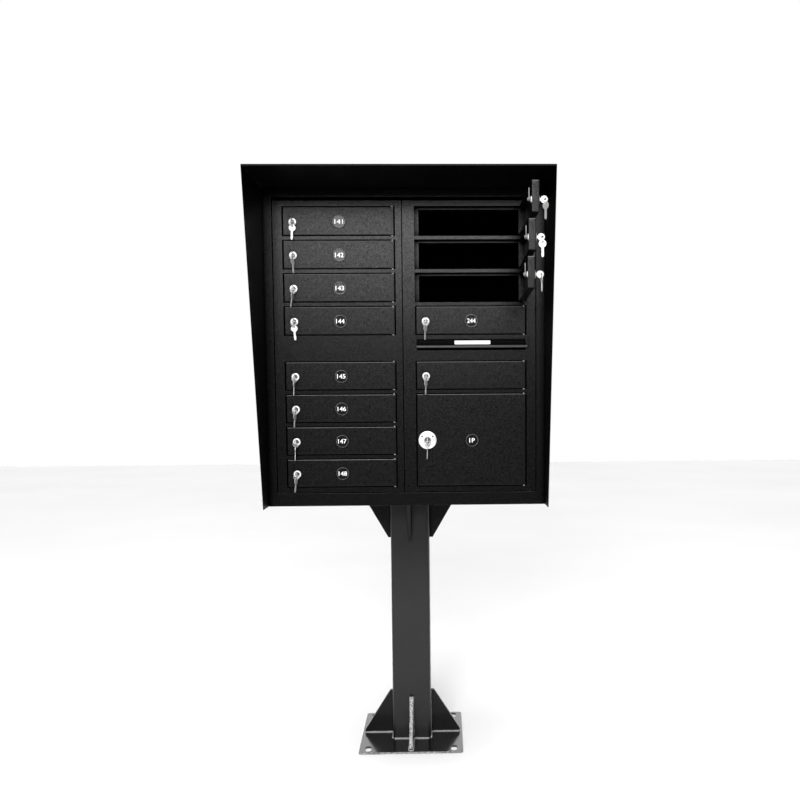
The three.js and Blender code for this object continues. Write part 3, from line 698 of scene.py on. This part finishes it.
def number_text(text):
    """Raised white figures, fitted to the label and drawn in X and Z."""
    curve = bpy.data.curves.new("figures", "FONT")
    curve.body = text
    curve.align_x = "CENTER"
    curve.align_y = "CENTER"
    curve.size = 1
    curve.offset = 0.012
    curve.extrude = 0.02
    curve.resolution_u = 3
    bm = curve_shape(curve)
    low = Vector(min(v.co[k] for v in bm.verts) for k in range(3))
    high = Vector(max(v.co[k] for v in bm.verts) for k in range(3))
    middle = (low + high) / 2
    wide = DIGIT_ADVANCE * len(text) / (high.x - low.x)
    tall = DIGIT_HEIGHT / (high.y - low.y)
    for vertex in bm.verts:
        x, y, z = vertex.co - middle
        vertex.co = (x * wide, DIGIT_FACE - z * 8 * MM, y * tall)
    return mesh_of(bm, f"figures_{text}")


# ---------------------------------------------------------------- cam locks and keys

TENANT_LOCK = {
    "head": 10.5,
    "proud": 2.8,
    "body": 7.8,
    "door_bore": 8.1,
    "nut": 11,
    "plug": 6,
    "cam": 28,
    "cam_width": 12,
    "bow": 9,
}
PARCEL_LOCK = {
    "head": 25,
    "proud": 3.4,
    "body": 11,
    "door_bore": 11.3,
    "nut": 14.5,
    "plug": 8.5,
    "cam": 31,
    "cam_width": 16,
    "bow": 11,
}
BODY_DEPTH = 18.6
NUT_FRONT = 2.3
NUT_BACK = 6.3
CAM_FRONT = 21.6
CAM_BACK = 23.8
PLUG_PROUD = 0.8
PLUG_CLEARANCE = 0.35
KEY_SHANK = 3
KEY_THICKNESS = 2
KEY_EDGE = 0.35
KEY_HOLE = 2.8
THREAD_PITCH = 1.4
RIVET_REACH = 18
RIVET_TURNS = (math.radians(145), math.radians(35), math.radians(-90))


def scaled(points):
    """Points drawn in millimetres, in metres."""
    return [(a * MM, b * MM) for a, b in points]


def head_profile(lock):
    """From the bore round the head to the door's face: a bevelled ring, or a wide low dome."""
    proud, head = -lock["proud"], lock["head"]
    bore = lock["plug"] + PLUG_CLEARANCE
    if head < 2 * lock["body"]:
        return [
            (bore, proud + 0.5),
            (bore + 0.4, proud),
            (head - 1.6, proud),
            (head - 0.6, proud + 0.4),
            (head, proud + 1.2),
            (head, -0.1),
        ]
    return [
        (bore, proud + 0.6),
        (bore + 0.5, proud),
        (bore + 2.2, proud + 0.05),
        (bore + 2.9, proud + 0.5),
        (head * 0.6, proud + 0.75),
        (head * 0.8, proud + 1.25),
        (head - 1.6, proud + 1.9),
        (head - 0.4, proud + 2.5),
        (head, -0.1),
    ]


def lock_housing(lock):
    """The still part of a lock: head, threaded body and hexagon nut."""
    bm = bmesh.new()
    body = lock["body"]
    profile = head_profile(lock)
    profile.append((body, -0.1))
    depth = NUT_BACK + 1
    profile.append((body, depth))
    while depth + THREAD_PITCH < BODY_DEPTH - 0.6:
        profile.append((body - 0.55, depth + THREAD_PITCH / 2))
        profile.append((body, depth + THREAD_PITCH))
        depth += THREAD_PITCH
    profile.append((body - 0.6, BODY_DEPTH))
    profile.append((lock["plug"] + PLUG_CLEARANCE, BODY_DEPTH))
    lathe(bm, scaled(profile), 44, closed=True)
    hexagon = circle(lock["nut"] * MM, steps=6)
    hole = circle((body + 0.1) * MM, steps=32)
    nut = flat_plate([hexagon, hole], (NUT_BACK - NUT_FRONT) * MM, 0.45 * MM)
    add_mesh(bm, nut, Matrix.Translation((0, (NUT_FRONT + NUT_BACK) / 2 * MM, 0)))
    return mesh_of(bm, "lock_housing")


def collar_rivets():
    """Three small rivets round the wide collar of the parcel lock."""
    bm = bmesh.new()
    rivet = [(0, -3.4), (1.4, -3.35), (2.3, -3.0), (2.8, -2.3), (2.8, -1.6), (0, -1.6)]
    for turn in RIVET_TURNS:
        spot = (RIVET_REACH * math.cos(turn) * MM, 0, RIVET_REACH * math.sin(turn) * MM)
        lathe(bm, scaled(rivet), 20, at=Matrix.Translation(spot))
    return mesh_of(bm, "collar_rivets")


def bow_outline(radius, shank):
    """A key's round bow about the origin, with a straight shank running down to Z = -shank."""
    half = 3.4
    corner = math.asin(half / radius)
    start = -math.pi / 2 + corner
    points = circle(radius, steps=36, start=start, sweep=2 * math.pi - 2 * corner)
    return points + [(-half, -shank), (half, -shank)]


def lock_plug(lock):
    """The turning part of a lock: plug, cam, washer and screw."""
    bm = bmesh.new()
    face = -lock["proud"] - PLUG_PROUD
    radius = lock["plug"]
    barrel = [
        (0, face),
        (radius - 0.7, face),
        (radius, face + 0.6),
        (radius, BODY_DEPTH + 0.6),
        (radius - 1.2, BODY_DEPTH + 0.8),
        (radius - 1.2, CAM_FRONT - 0.05),
        (0, CAM_FRONT - 0.05),
    ]
    lathe(bm, scaled(barrel), 36)
    half = lock["cam_width"] / 2
    tip = half * 0.45
    arm = circle(half, steps=20, start=math.pi, sweep=math.pi)
    arm += circle(tip, (half - tip, lock["cam"] - tip), 6, 0, math.pi / 2)
    arm += circle(tip, (tip - half, lock["cam"] - tip), 6, math.pi / 2, math.pi / 2)
    plate = flat_plate([scaled(arm)], (CAM_BACK - CAM_FRONT) * MM, 0.35 * MM)
    add_mesh(bm, plate, Matrix.Translation((0, (CAM_FRONT + CAM_BACK) / 2 * MM, 0)))
    washer = [
        (0, CAM_BACK + 0.02),
        (5.2, CAM_BACK + 0.02),
        (5.2, CAM_BACK + 0.7),
        (0, CAM_BACK + 0.7),
    ]
    lathe(bm, scaled(washer), 28)
    screw = flat_plate([circle(4.4 * MM, steps=6)], 2.2 * MM, 0.4 * MM)
    add_mesh(bm, screw, Matrix.Translation((0, (CAM_BACK + 1.85) * MM, 0)))
    return mesh_of(bm, "lock_plug")


def standing_key(lock):
    """The key in a lock, with its bow standing upright in front of the plug."""
    bm = bmesh.new()
    face = -lock["proud"] - PLUG_PROUD
    reach = KEY_SHANK + lock["bow"] - 1
    outline = bow_outline(lock["bow"], reach)
    hole = circle(KEY_HOLE, (0, lock["bow"] / 3), 20)
    key = flat_plate([scaled(outline), scaled(hole)], KEY_THICKNESS * MM, KEY_EDGE * MM)
    stand = Matrix.Translation((0, (face - reach + 0.03) * MM, 0))
    add_mesh(bm, key, stand @ Matrix.Rotation(QUARTER, 4, "X") @ Matrix.Rotation(QUARTER, 4, "Z"))
    return mesh_of(bm, "standing_key")


RING_RADIUS = 8.0
WIRE_RADIUS = 0.55
SPARE_BLADE = 23.4
SPARE_BOW = 9.2
SPARE_HOLE = 2.6


def split_ring():
    """Two turns of wire side by side; the ring hangs from the origin towards -Z, facing Y."""
    bm = bmesh.new()
    steps = 60
    turns = 1.92
    points = []
    for k in range(steps + 1):
        share = k / steps
        angle = math.pi / 2 + 2 * math.pi * turns * share
        offset = (share - 0.5) * 2 * WIRE_RADIUS * turns
        points.append(
            Vector(
                (
                    RING_RADIUS * math.cos(angle) * MM,
                    offset * MM,
                    RING_RADIUS * (math.sin(angle) - 1) * MM,
                )
            )
        )
    tube(bm, points, [WIRE_RADIUS * MM] * len(points), 7)
    return mesh_of(bm, "split_ring")


def spare_key():
    """A loose key in X and Z, hanging from its hole at the origin towards -Z."""
    bow = SPARE_BOW
    hole_drop = bow - 4.3
    half = 3.3
    corner = math.asin(half / bow)
    outline = circle(bow, steps=36, start=-math.pi / 2 + corner, sweep=2 * math.pi - 2 * corner)
    outline.append((-half, -bow - SPARE_BLADE + 2.5))
    outline.append((-half + 2.2, -bow - SPARE_BLADE))
    outline.append((half - 2.6, -bow - SPARE_BLADE + 0.6))
    cuts = (1.5, 0.6, 1.9, 1.0, 1.6)
    step = (SPARE_BLADE - 3.5) / (len(cuts) * 2)
    low = -bow - SPARE_BLADE + 2.4
    for k, depth in enumerate(cuts):
        outline.append((half - 0.2, low + (2 * k) * step))
        outline.append((half - depth, low + (2 * k + 1) * step))
    outline.append((half, low + 2 * len(cuts) * step))
    hole = circle(SPARE_HOLE, (0, hole_drop), 20)
    bm = flat_plate([scaled(outline), scaled(hole)], KEY_THICKNESS * MM, KEY_EDGE * MM)
    bmesh.ops.translate(bm, verts=bm.verts, vec=(0, 0, -hole_drop * MM))
    return mesh_of(bm, "spare_key")


# How each ring and spare key hangs: the ring's turn about the vertical, how far it leans back
# to the door and along the door, the spare key's turn about the vertical and its sideways
# sway, all in degrees.
HANGS = {
    "141": (12, 62, 0, 4, 3),
    "142": (12, 62, 0, 62, -2),
    "143": (-10, 50, 10, 76, 9),
    "144": (38, 50, 0, 6, -5),
    "145": (-14, 46, 14, 84, 2),
    "146": (8, 50, 12, 74, 4),
    "147": (-6, 48, 16, 96, 2),
    "148": (14, 50, 12, 70, 6),
    "241": (20, 4, 58, 40, -4),
    "242": (20, 4, 52, 84, 1),
    "243": (20, 6, 76, 8, 12),
    "244": (6, 50, 0, 60, 3),
    "outgoing": (-8, 50, 0, 62, 2),
    "parcel": (10, 46, 0, 86, 2),
}


def hang_keys(label, lock, lock_place, body):
    """Puts a split ring through the lock's key and a spare key on the ring."""
    turn, lean, swing, key_turn, sway = (math.radians(angle) for angle in HANGS[label])
    bow_centre = -lock["proud"] - PLUG_PROUD - KEY_SHANK - lock["bow"] + 1
    hole_depth = bow_centre - lock["bow"] / 3
    rest = -(KEY_HOLE - WIRE_RADIUS - 0.05)
    spot = Matrix.Translation((0, hole_depth * MM, rest * MM))
    hang = spot @ Matrix.Rotation(swing, 4, "Y") @ Matrix.Rotation(lean, 4, "X")
    hang = hang @ Matrix.Rotation(turn, 4, "Z")
    place(f"key_ring_{label}", RING, CHROME, body, lock_place @ hang)
    bottom = (hang @ Vector((0, 0, -2 * RING_RADIUS * MM))) + Vector((0, 0, -1.4 * MM))
    flat = Matrix.Rotation(key_turn, 4, "Z")
    tilt = Matrix.Rotation(sway, 4, "Y")
    loose = Matrix.Translation(bottom) @ tilt @ flat
    place(f"spare_key_{label}", SPARE, NICKEL, body, lock_place @ loose)


def dress_door(door, label, lock, meshes, number):
    """One small door with its pins, lock, key ring, spare key and, with a number, its label."""
    at = door_place(door, label)
    lock_place = at @ lock_at(door, label)
    pan = place(f"{door}_pan", meshes["pan"], DOOR_COAT, door, at)
    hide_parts(door)
    place(f"{door}_pins", meshes["pins"], NICKEL, door, at)
    housing = place(f"lock_{label}_housing", meshes["housing"], CHROME, door, lock_place)
    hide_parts(f"lock_{label}")
    plug_body = f"plug_{label}"
    plug = place(f"lock_{label}_plug", meshes["plug"], ZINC, plug_body, lock_place)
    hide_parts(plug_body)
    place(f"lock_{label}_key", meshes["key"], NICKEL, plug_body, lock_place)
    if "rivets" in meshes:
        place(f"lock_{label}_rivets", meshes["rivets"], ZINC, door, lock_place)
    hang_keys(label, lock, lock_place, door)
    if number is None:
        return
    centre = Vector((PIVOT_INSET - DOOR_WIDTH / 2, DOOR_FRONT, 0)) + Vector(LABEL_OFFSET)
    label_place = at @ Matrix.Translation(centre)
    place(f"{door}_label", DISC, LABEL_BLACK, door, label_place)
    figures = number_text(number)
    place(f"{door}_figures", figures, PRINT_WHITE, door, label_place)


# ---------------------------------------------------------------- outgoing mail flap

LIP_RADIUS = 4 * MM
FLAP_SHEET = 2 * MM
FLAP_LEFT = 31.5 * MM
FLAP_RIGHT = 330.5 * MM
FLAP_BARREL_RADIUS = 2.4 * MM
BLANK_WIDTH = 99 * MM
BLANK_HEIGHT = 11.6 * MM
BLANK_THICKNESS = 0.6 * MM
BLANK_X = 184.8 * MM
BLANK_DROP = 6 * MM


def rod_along_x(bm, profile, segments, start):
    """Turns a profile of (radius, length) points about a line that runs from start along +X."""
    lathe(bm, profile, segments, at=Matrix.Translation(start) @ Matrix.Rotation(-QUARTER, 4, "Z"))


def finger_lip(low, high, pivot):
    """The round lip with domed ends, and the level web that joins it to the flap's sheet."""
    bm = bmesh.new()
    lip_y, lip_z = low.y + LIP_RADIUS, low.z + LIP_RADIUS
    length = high.x - low.x
    angles = [k * math.pi / 12 for k in range(7)]
    dome = [(LIP_RADIUS * math.sin(a), LIP_RADIUS * (1 - math.cos(a))) for a in angles]
    profile = dome + [(radius, length - along) for radius, along in reversed(dome)]
    rod_along_x(bm, profile, 24, (low.x, lip_y, lip_z))
    half = FLAP_SHEET / 2
    near = (FLAP_LEFT, lip_y, lip_z - half)
    rounded_box(bm, near, (FLAP_RIGHT, pivot.y + half, lip_z + half), 0.5 * MM)
    return mesh_of(bm, "mail_flap_lip")


def flap_sheet(low, pivot):
    """The upright sheet over the lip, rolled into a barrel at the top."""
    bm = bmesh.new()
    half = FLAP_SHEET / 2
    near = (FLAP_LEFT, pivot.y - half, low.z + LIP_RADIUS + half)
    rounded_box(bm, near, (FLAP_RIGHT, pivot.y + half, pivot.z), 0.3 * MM)
    span = FLAP_RIGHT - FLAP_LEFT
    radius, chamfer = FLAP_BARREL_RADIUS, 0.4 * MM
    barrel = [
        (0, 0),
        (radius - 0.3 * MM, 0),
        (radius, chamfer),
        (radius, span - chamfer),
        (radius - 0.3 * MM, span),
        (0, span),
    ]
    rod_along_x(bm, barrel, 20, (FLAP_LEFT, pivot.y, pivot.z))
    return mesh_of(bm, "mail_flap_sheet")


def mail_flap():
    """The flap: finger lip, sheet, and a blank white label on the sheet's front."""
    low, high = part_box("mail_slot_flap")
    pivot = Vector(joints["mail_slot_flap_hinge"]["pos_m"])
    body = "mail_slot_flap"
    flap = place("mail_flap_lip", finger_lip(low, high, pivot), LIP, body)
    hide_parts(body)
    # The sheet takes the dark rack paint: painted shade for the recess behind the lip.
    place("mail_flap_sheet", flap_sheet(low, pivot), RACK_COAT, body)
    outline = rounded_rectangle(BLANK_WIDTH, BLANK_HEIGHT, 2 * MM)
    blank = mesh_of(flat_plate([outline], BLANK_THICKNESS, 0.15 * MM), "blank_label")
    front = pivot.y - FLAP_SHEET / 2 - BLANK_THICKNESS / 2 - 0.02 * MM
    spot = Matrix.Translation((BLANK_X, front, pivot.z - BLANK_DROP))
    place("mail_flap_blank_label", blank, LABEL_WHITE, body, spot)


# ---------------------------------------------------------------- pedestal

POST_SIDE = 114.3 * MM
POST_CORNER = 9 * MM
POST_WALL = 5 * MM
PLATE_CORNER = 8 * MM
PLATE_THICKNESS = 6 * MM
HEAD_SIDE = 268 * MM
ANCHOR_SLOT = (18 * MM, 34 * MM)
ANCHOR_SPACING = 252 * MM
HEAD_BOLT = (11 * MM, 11 * MM)
BOLT_SPACING = 216 * MM
SEAT_GAP = 0.02 * MM
POST_GAP = 0.3 * MM
GUSSET_THICKNESS = 10 * MM
FOOT_GUSSET = (88 * MM, 133 * MM)
HEAD_GUSSET = (72 * MM, 117 * MM)
GUSSET_TIP = 10 * MM
WELD_RADIUS = 3.4 * MM
RISE_RADIUS = 1.9 * MM
WELD_STEP = 1.5 * MM
WELD_WANDER = 0.8 * MM
SEED_STEP = 1.7
noise.seed_set(1)  # without a seed, the noise vectors would differ from run to run


def level_plate(side, corner, hole_spacing, hole_size, z0, z1):
    """A square plate lying level, with rounded corners and four holes or slots."""
    half = hole_spacing / 2
    outlines = [rounded_rectangle(side, side, corner, 8)]
    width, length = hole_size
    for x, y in ((-half, -half), (half, -half), (half, half), (-half, half)):
        hole = rounded_rectangle(width, length, width / 2 - 0.01 * MM, 8)
        outlines.append([(a + x, b + y) for a, b in hole])
    bm = flat_plate(outlines, z1 - z0, 0.7 * MM)
    bmesh.ops.rotate(bm, verts=bm.verts, matrix=Matrix.Rotation(QUARTER, 3, "X"))
    bmesh.ops.translate(bm, verts=bm.verts, vec=(0, 0, (z0 + z1) / 2))
    return bm


def gusset_set(size, base, up):
    """Four gussets round the post, each standing on the plate at height base."""
    bm = bmesh.new()
    reach, height = size
    root = POST_SIDE / 2 + POST_GAP
    outline = [
        (root, base),
        (root + reach, base),
        (root + reach, base + up * GUSSET_TIP),
        (root + GUSSET_TIP, base + up * height),
        (root, base + up * height),
    ]
    for k in range(4):
        plate = flat_plate([outline], GUSSET_THICKNESS, 0.6 * MM)
        add_mesh(bm, plate, Matrix.Rotation(k * QUARTER, 4, "Z"))
    return bm


def weld_bead(bm, start, end, seed, radius=WELD_RADIUS):
    """A hand-laid bead: overlapping ripples along a slightly wandering line."""
    run = end - start
    count = max(4, round(run.length / WELD_STEP))
    points, radii = [], []
    for k in range(count + 1):
        spot = start + run * (k / count)
        drift = noise.noise_vector((spot * 60) + Vector((seed, 0, 0))) * WELD_WANDER
        points.append(spot + drift)
        ripple = 0.14 * math.sin(k * 2.1 + seed)
        swell = 0.2 * noise.noise((spot * 110) + Vector((0, seed, 0)))
        taper = min(1.0, 0.55 + 0.25 * min(k, count - k))
        radii.append(radius * taper * (1 + ripple + swell))
    tube(bm, points, radii, 8)


def weld_set(size, base, up):
    """Beads along both sides of every gusset, up the post and round the post's end."""
    bm = bmesh.new()
    reach, height = size
    root = POST_SIDE / 2
    side = GUSSET_THICKNESS / 2
    seed = 0.0
    for k in range(4):
        turn = Matrix.Rotation(k * QUARTER, 4, "Z")
        for face in (-side, side):
            foot = (Vector((root + 2 * MM, face, base)), Vector((root + reach, face, base)))
            rise = (
                Vector((root, face, base + up * 6 * MM)),
                Vector((root, face, base + up * (height - 3 * MM))),
            )
            for (a, b), radius in ((foot, WELD_RADIUS), (rise, RISE_RADIUS)):
                seed += SEED_STEP
                weld_bead(bm, turn @ a, turn @ b, seed, radius)
        seed += SEED_STEP
        a, b = (turn @ Vector((root + reach, along, base)) for along in (-side, side))
        weld_bead(bm, a, b, seed)
        edge = root - POST_CORNER / 2
        for low, high in ((-edge, -side), (side, edge)):
            seed += SEED_STEP
            a, b = (turn @ Vector((root, along, base)) for along in (low, high))
            weld_bead(bm, a, b, seed, WELD_RADIUS * 1.1)
    return bm


def fixed(name, bm, material):
    """A piece of the pedestal, which stands still with the cabinet."""
    return place(name, mesh_of(bm, name), material, "cabinet")


def post_tube():
    """The square post: an empty tube with rounded corners, open at both ends."""
    low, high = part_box("pedestal_post")
    hollow = POST_SIDE - 2 * POST_WALL
    outer = rounded_rectangle(POST_SIDE, POST_SIDE, POST_CORNER, 10)
    inner = rounded_rectangle(hollow, hollow, POST_CORNER - POST_WALL, 10)
    bm = bmesh.new()
    loops = [
        [bm.verts.new((x, y, z)) for x, y in outline]
        for outline, z in ((outer, low.z), (outer, high.z), (inner, high.z), (inner, low.z))
    ]
    for loop, after in zip(loops, loops[1:] + loops[:1]):
        join_loops(bm, loop, after)
    return bm


def pedestal():
    """The post, then the foot and the head, each a plate with gussets and weld beads."""
    post = fixed("pedestal_post_tube", post_tube(), SATIN)
    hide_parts("pedestal_post")

    low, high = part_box("pedestal_foot")
    top = PLATE_THICKNESS
    plate = level_plate(high.x - low.x, PLATE_CORNER, ANCHOR_SPACING, ANCHOR_SLOT, 0, top)
    foot = fixed("foot_plate", plate, GLOSS)
    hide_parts("pedestal_foot")
    fixed("foot_gussets", gusset_set(FOOT_GUSSET, top + SEAT_GAP, 1), EDGED)
    fixed("foot_welds", weld_set(FOOT_GUSSET, top, 1), WELD_HIGHLIGHT_PAINT)

    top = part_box("pedestal_head")[1].z
    under = top - PLATE_THICKNESS
    plate = level_plate(HEAD_SIDE, PLATE_CORNER, BOLT_SPACING, HEAD_BOLT, under, top)
    head = fixed("head_plate", plate, SATIN)
    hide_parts("pedestal_head")
    # The head's gussets and beads take the plain dark coat: painted shade under the cabinet.
    fixed("head_gussets", gusset_set(HEAD_GUSSET, under - SEAT_GAP, -1), COAT)
    fixed("head_welds", weld_set(HEAD_GUSSET, under, -1), COAT)


def hinge_rods():
    """The two upright rods that the loading doors turn on, with chamfered ends."""
    for side in ("left", "right"):
        low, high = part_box(f"{side}_hinge_rod")
        radius = (high.x - low.x) / 2
        length = high.z - low.z
        bm = bmesh.new()
        chamfer = 0.5 * MM
        profile = [
            (0, 0),
            (radius - chamfer, 0),
            (radius, chamfer),
            (radius, length - chamfer),
            (radius - chamfer, length),
            (0, length),
        ]
        middle = (low + high) / 2
        stand = Matrix.Translation((middle.x, middle.y, low.z)) @ Matrix.Rotation(QUARTER, 4, "X")
        lathe(bm, profile, 20, at=stand)
        name = f"{side}_hinge_rod_round"
        # The rods take the dark rack paint: painted shade for the gap their ends sit in.
        rod = place(name, mesh_of(bm, name), RACK_COAT, "cabinet")
        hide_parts(f"{side}_hinge_rod")


# ---------------------------------------------------------------- studio


def area_light(name, at, aim, size, power):
    data = bpy.data.lights.new(name, "AREA")
    data.shape = "RECTANGLE"
    data.size, data.size_y = size
    data.energy = power
    lamp = link(bpy.data.objects.new(name, data))
    lamp.location = at
    lamp.rotation_euler = (Vector(aim) - Vector(at)).to_track_quat("-Z", "Y").to_euler()
    return lamp


FLOOR_EXTENT = ((-8, -2.6), (8, 10))
FLOOR_DROP = 0.2 * MM


def studio_floor():
    """A pale floor that lies just under the foot plate and throws no light back at it."""
    bm = bmesh.new()
    bmesh.ops.create_grid(bm, x_segments=12, y_segments=12, size=1)
    (left, front), (right, back) = FLOOR_EXTENT
    for vertex in bm.verts:
        across, along = (vertex.co.x + 1) / 2, (vertex.co.y + 1) / 2
        vertex.co.x = left + (right - left) * across
        vertex.co.y = front + (back - front) * along
    mesh = mesh_of(bm, "floor")
    mesh.materials.append(pale_floor("pale_floor"))
    floor = link(bpy.data.objects.new("floor", mesh))
    floor.location = (0, 0, -FLOOR_DROP)
    floor.visible_diffuse = False


def studio_world():
    """White to the camera. As a light it is dark in front and grows bright behind the object."""
    world = bpy.data.worlds.new("studio")
    world.use_nodes = True
    tree = world.node_tree
    sky = tree.nodes["Background"]
    sky.inputs["Color"].default_value = (1, 1, 1, 1)
    way = tree.nodes.new("ShaderNodeTexCoord").outputs["Generated"]
    parts = tree.nodes.new("ShaderNodeSeparateXYZ")
    tree.links.new(way, parts.inputs[0])
    dim = tree.nodes.new("ShaderNodeMapRange")
    dim.interpolation_type = "SMOOTHSTEP"
    limits = (("From Min", 0.35), ("From Max", 0.95), ("To Min", 0.012), ("To Max", 1.6))
    for socket, value in limits:
        dim.inputs[socket].default_value = value
    tree.links.new(parts.outputs["Y"], dim.inputs["Value"])
    seen = tree.nodes.new("ShaderNodeLightPath").outputs["Is Camera Ray"]
    pick = tree.nodes.new("ShaderNodeMix")
    pick.inputs[3].default_value = 1.0
    tree.links.new(seen, pick.inputs[0])
    tree.links.new(dim.outputs["Result"], pick.inputs[2])
    tree.links.new(pick.outputs[0], sky.inputs["Strength"])
    bpy.context.scene.world = world


def studio():
    """A softbox above the camera that the paint mirrors, a dim card under it, and soft fill."""
    studio_floor()
    studio_world()
    area_light("softbox", (-0.1, -3.5, 2.7), (-0.05, -0.2, 1.3), (2.2, 2.0), 115)
    area_light("front_card", (-0.14, -3.5, 1.0), (-0.05, -0.2, 1.1), (1.9, 1.2), 4.2)
    fill = area_light("fill", (-0.4, -3.4, 2.1), (0, -0.2, 1.2), (1.2, 1.0), 90)
    fill.visible_glossy = False
    data = bpy.data.lights.new("overhead", "SUN")
    data.energy = 2.7
    data.angle = math.radians(50)
    overhead = link(bpy.data.objects.new("overhead", data))
    overhead.rotation_euler = (math.radians(4), math.radians(-3), 0)
    bpy.context.scene.view_settings.view_transform = "Standard"


# ---------------------------------------------------------------- assembly

make_camera()
studio()
dress_sheets()
hinge_rods()
mail_flap()
pedestal()

RING = split_ring()
SPARE = spare_key()
DISC = number_disc()


def door_meshes(kind, height, lock, at):
    """The meshes of one kind of small door, with its lock at the matrix at."""
    bore_at = (at.translation.x, at.translation.z)
    return {
        "pan": door_pan(f"{kind}_pan", height, bore_at, lock["door_bore"] * MM),
        "pins": pivot_pins(height),
        "housing": lock_housing(lock),
        "plug": lock_plug(lock),
        "key": standing_key(lock),
    }


tenant_meshes = door_meshes("tenant", TENANT_HEIGHT, TENANT_LOCK, lock_at("door_141", "141"))
for joint in frame["joints"]:
    label = joint["child"].removeprefix("plug_")
    if label != joint["child"] and label != "parcel":
        number = label if label.isdigit() else None
        dress_door(joint["parent"], label, TENANT_LOCK, tenant_meshes, number)

parcel_low, parcel_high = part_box("parcel_door")
parcel_height = parcel_high.z - parcel_low.z - 2 * (DOOR_GAP + PIN_LENGTH)
parcel_lock_at = lock_at("parcel_door", "parcel")
parcel_meshes = door_meshes("parcel", parcel_height, PARCEL_LOCK, parcel_lock_at)
parcel_meshes["rivets"] = collar_rivets()
dress_door("parcel_door", "parcel", PARCEL_LOCK, parcel_meshes, "1P")
